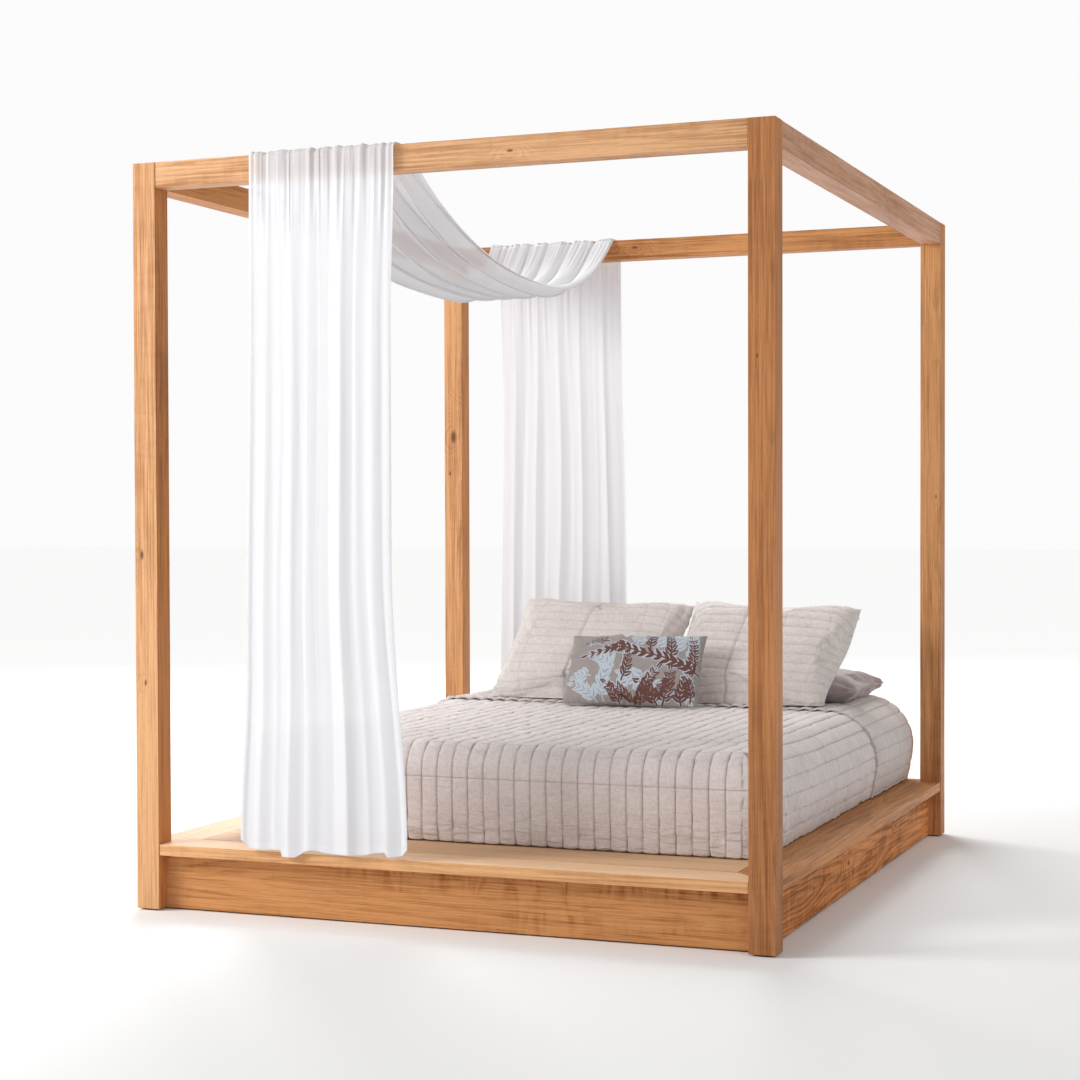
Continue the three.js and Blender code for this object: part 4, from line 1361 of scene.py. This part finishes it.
def scarf_lines():
    """Rows of the scarf, from the foot hem to the head hem: left and right ends, the way out, fold sizes."""
    front_y, back_y = rail_low[1] - 0.0155, rail_high[1] + 0.007
    head_front_y, head_back_y = head_rail_low[1] - 0.007, head_rail_high[1] + 0.0155
    top, shoulder, turn_steps = SCARF_TOP, SCARF_SHOULDER, 7
    rows = []

    def add(left, right, normal, broad, fine, hem=0.0):
        rows.append((*left, *right, *normal, broad, fine, hem))

    def over_rail(near_y, far_y, edges, fine):
        left, right = edges
        turns = [math.pi / 2 * k / turn_steps for k in range(1, turn_steps)]
        for a in turns:
            y, z = near_y + shoulder * (1 - math.cos(a)), top - shoulder + shoulder * math.sin(a)
            add((left, y, z), (right, y, z), (0, -math.cos(a), math.sin(a)), 0.003, fine)
        for y in np.linspace(near_y + shoulder, far_y - shoulder, 8):
            add((left, y, top), (right, y, top), (0, 0, 1), 0.002, 0.0024)
        for a in turns:
            y, z = far_y - shoulder * (1 - math.sin(a)), top - shoulder + shoulder * math.cos(a)
            add((left, y, z), (right, y, z), (0, math.sin(a), math.cos(a)), 0.003, fine)

    for z in np.concatenate([
            np.linspace(HEM_HEIGHT, FULL_HANG_HEIGHT, DROP_ROWS, endpoint=False),
            np.linspace(FULL_HANG_HEIGHT, top - shoulder, GATHER_ROWS)]):
        fall = top - z
        left = FOOT_EDGES[0] - 0.016 * smoothstep(0.3, 1.5, fall) - 0.020 * smoothstep(1.45, 1.95, fall)
        right = -0.116 - 0.010 * smoothstep(0.05, 0.5, fall) + 0.044 * smoothstep(1.15, 1.95, fall)
        broad = 0.0016 + 0.0021 * smoothstep(0.05, 0.9, fall) + 0.0014 * smoothstep(1.4, 1.95, fall)
        fine = 0.0032 - 0.0029 * smoothstep(0.02, 0.32, fall)
        hem = smoothstep(0.3, 0.0, z - HEM_HEIGHT)
        add((left, front_y, z), (right, front_y, z), (0, -1, 0), broad, fine, hem)
    over_rail(front_y, back_y, FOOT_EDGES, 0.0034)

    span = head_front_y - back_y
    sag = scarf_sag()
    right_shape, left_shape = (0.59, 2.2, 2.5), (0.47, 2.2, 4.5)
    for t in np.linspace(0, 1, SWAG_ROWS):
        y = back_y + span * t
        right_z = top - hang(t, sag, *right_shape)
        left_z = top - hang(t, sag, *left_shape)
        middle = math.sin(math.pi * t)
        right_x = lerp(FOOT_EDGES[1], HEAD_EDGES[1], t) - 0.01 * middle
        left_x = lerp(FOOT_EDGES[0], HEAD_EDGES[0], t) + 0.045 * middle
        ahead = hang(min(t + 0.01, 1), sag, *right_shape) - hang(max(t - 0.01, 0), sag, *right_shape)
        slope = -ahead / (span * 0.02)
        across = np.array([right_x - left_x, 0, right_z - left_z])
        forward = np.array([0, 1, slope])
        normal = np.cross(across, forward)
        normal /= np.linalg.norm(normal)
        broad = 0.003 + 0.014 * smoothstep(0.0, 0.2, t) * smoothstep(1.0, 0.8, t)
        fine = 0.0034 - 0.0022 * smoothstep(0.03, 0.2, t) * smoothstep(0.99, 0.88, t)
        add((left_x, y, left_z), (right_x, y, right_z), normal, broad, fine)

    over_rail(head_front_y, head_back_y, HEAD_EDGES, 0.0035)
    for z in np.concatenate([
            np.linspace(top - shoulder, FULL_HANG_HEIGHT, GATHER_ROWS, endpoint=False),
            np.linspace(FULL_HANG_HEIGHT, HEM_HEIGHT, DROP_ROWS)]):
        fall = top - z
        left = HEAD_EDGES[0] + 0.012 * smoothstep(0.1, 0.6, fall) - 0.018 * smoothstep(0.6, 1.9, fall)
        right = HEAD_EDGES[1] + 0.018 * smoothstep(0.2, 1.2, fall)
        broad = 0.002 + 0.0042 * smoothstep(0.05, 0.9, fall) + 0.001 * smoothstep(1.4, 1.95, fall)
        fine = 0.0036 - 0.0030 * smoothstep(0.05, 0.5, fall)
        add((left, head_back_y, z), (right, head_back_y, z), (0, 1, 0), broad, fine)
    return np.array(rows)


def make_scarf():
    rows = scarf_lines()
    columns = 188
    s = np.linspace(0, 1, columns)[None, :]
    left, right, normal = rows[:, None, 0:3], rows[:, None, 3:6], rows[:, None, 6:9]
    base = left + (right - left) * s[..., None]
    middle = base[:, columns // 2]
    path = np.concatenate([[0], np.cumsum(np.linalg.norm(np.diff(middle, axis=0), axis=1))])
    q = path[:, None]
    broad, fine, hem = rows[:, 9][:, None], rows[:, 10][:, None], rows[:, 11][:, None]
    warp = 0.035 * noise2(s * 3.2, q / 1.1, 201) + 0.012 * noise2(s * 9, q / 0.6, 202)
    phase = 2 * math.pi * (5.4 * (s + warp) + 0.1)
    swell = np.sin(phase) + 0.38 * np.sin(2.0 * phase + 1.3 + 1.2 * noise2(s * 2, q / 0.9, 203))
    bent = s + 0.25 * warp
    ridges = sum(
        size * np.exp(-(((bent - at) / wide) ** 2)) for at, size, wide in (
            (0.01, 0.8, 0.030), (0.12, 1.0, 0.045), (0.21, 0.5, 0.030),
            (0.30, 1.2, 0.050), (0.42, 0.6, 0.035),
            (0.655, 1.9, 0.050), (0.77, 0.6, 0.035), (0.885, 1.2, 0.050), (0.99, 0.9, 0.030)))
    foot = smoothstep(2.3, 1.7, q)
    swell = lerp(swell, 1.5 * ridges - 0.9, foot)
    gather_phase = 2 * math.pi * 21 * (s + 0.022 * noise2(s * 8, q / 0.7, 204) + 0.3 * warp)
    gathers = np.sin(gather_phase) * (0.75 + 0.5 * noise2(s * 11, q / 0.35, 205))
    gathers = 0.35 * gathers + 0.9 * noise2(s * 33, q / 0.5, 206) + 0.6 * noise2(s * 71, q / 0.3, 207)
    lift = broad * swell + fine * gathers
    base = base + normal * lift[..., None]
    along_x = (right - left) / np.linalg.norm(right - left, axis=2, keepdims=True)
    sway = 0.55 * broad * np.sin(2 * phase) + 0.35 * fine * np.sin(2 * gather_phase)
    base = base + along_x * (sway * smoothstep(0, 0.03, s) * smoothstep(1, 0.97, s))[..., None]
    hem_line = np.interp(
        s, [0, 0.06, 0.245, 0.25, 0.33, 0.38, 0.43, 0.55, 0.73, 0.86, 0.89, 0.97, 1],
        [0.024, 0.0, 0.001, -0.018, -0.018, -0.001, 0.005, -0.003, 0.0, 0.012, -0.002, 0.006, 0.022])
    base[..., 2] += hem * hem_line
    u = s * np.linalg.norm(np.diff(base, axis=1), axis=2).sum(1).mean()
    uv = np.stack(np.broadcast_arrays(u, q), axis=2)
    points = base.reshape(-1, 3)
    edge = np.minimum(s, 1 - s) * 0.8
    hem_near = np.minimum(q, path[-1] - q)
    _, mid_y, mid_z = base[:, columns // 2].T
    high = smoothstep(2.02, 2.12, mid_z)[:, None]
    swag = smoothstep(rail_low[1] - 0.01, rail_low[1] + 0.1, mid_y)
    swag = (swag * smoothstep(head_rail_high[1] + 0.01, head_rail_high[1] - 0.1, mid_y))[:, None]
    cover = 0.965 - (0.25 + 0.05 * gathers) * high * (1 - swag) - 0.095 * swag + 0.015 * np.sin(phase)
    border = np.maximum(smoothstep(0.010, 0.007, edge), smoothstep(0.022, 0.019, hem_near))
    scarf = mesh_object("scarf_sheet", points, grid_faces(len(rows), columns), uv, {
        "border": np.broadcast_to(border, (len(rows), columns)),
        "cover": np.broadcast_to(cover, (len(rows), columns))})
    voile = Shader("sheer_voile", 0.85)
    uvs = voile.uv()
    tu, tv, _ = voile.separate(uvs)
    per_thread = 2 * math.pi / 0.0006
    threads = voile.math(
        "MULTIPLY", voile.math("SINE", voile.math("MULTIPLY", tu, per_thread)),
        voile.math("SINE", voile.math("MULTIPLY", tv, per_thread)))
    slub = voile.noise(voile.vector("MULTIPLY", uvs, (20.0, 600.0, 1.0)), 1.0, 2.0)
    sheer = voile.remap(slub, 0.3, 0.7, -0.02, 0.02)
    opaque = voile.math("ADD", voile.attribute("cover"), sheer)
    opaque = voile.math("ADD", opaque, voile.math("MULTIPLY", voile.attribute("border"), 0.05), clamp=True)
    voile.set(
        Base_Color=voile.mix(slub, linear(227, 227, 230), linear(220, 220, 224)),
        Alpha=opaque,
        Normal=voile.bump(voile.math("ADD", threads, slub), 0.0001, 0.3),
        Specular_IOR_Level=0.15,
    )
    voile.bsdf.inputs["Sheen Weight"].default_value = 0.3
    dress(scarf, voile.material, "scarf", "voile", "scarf_curtain")


make_scarf()
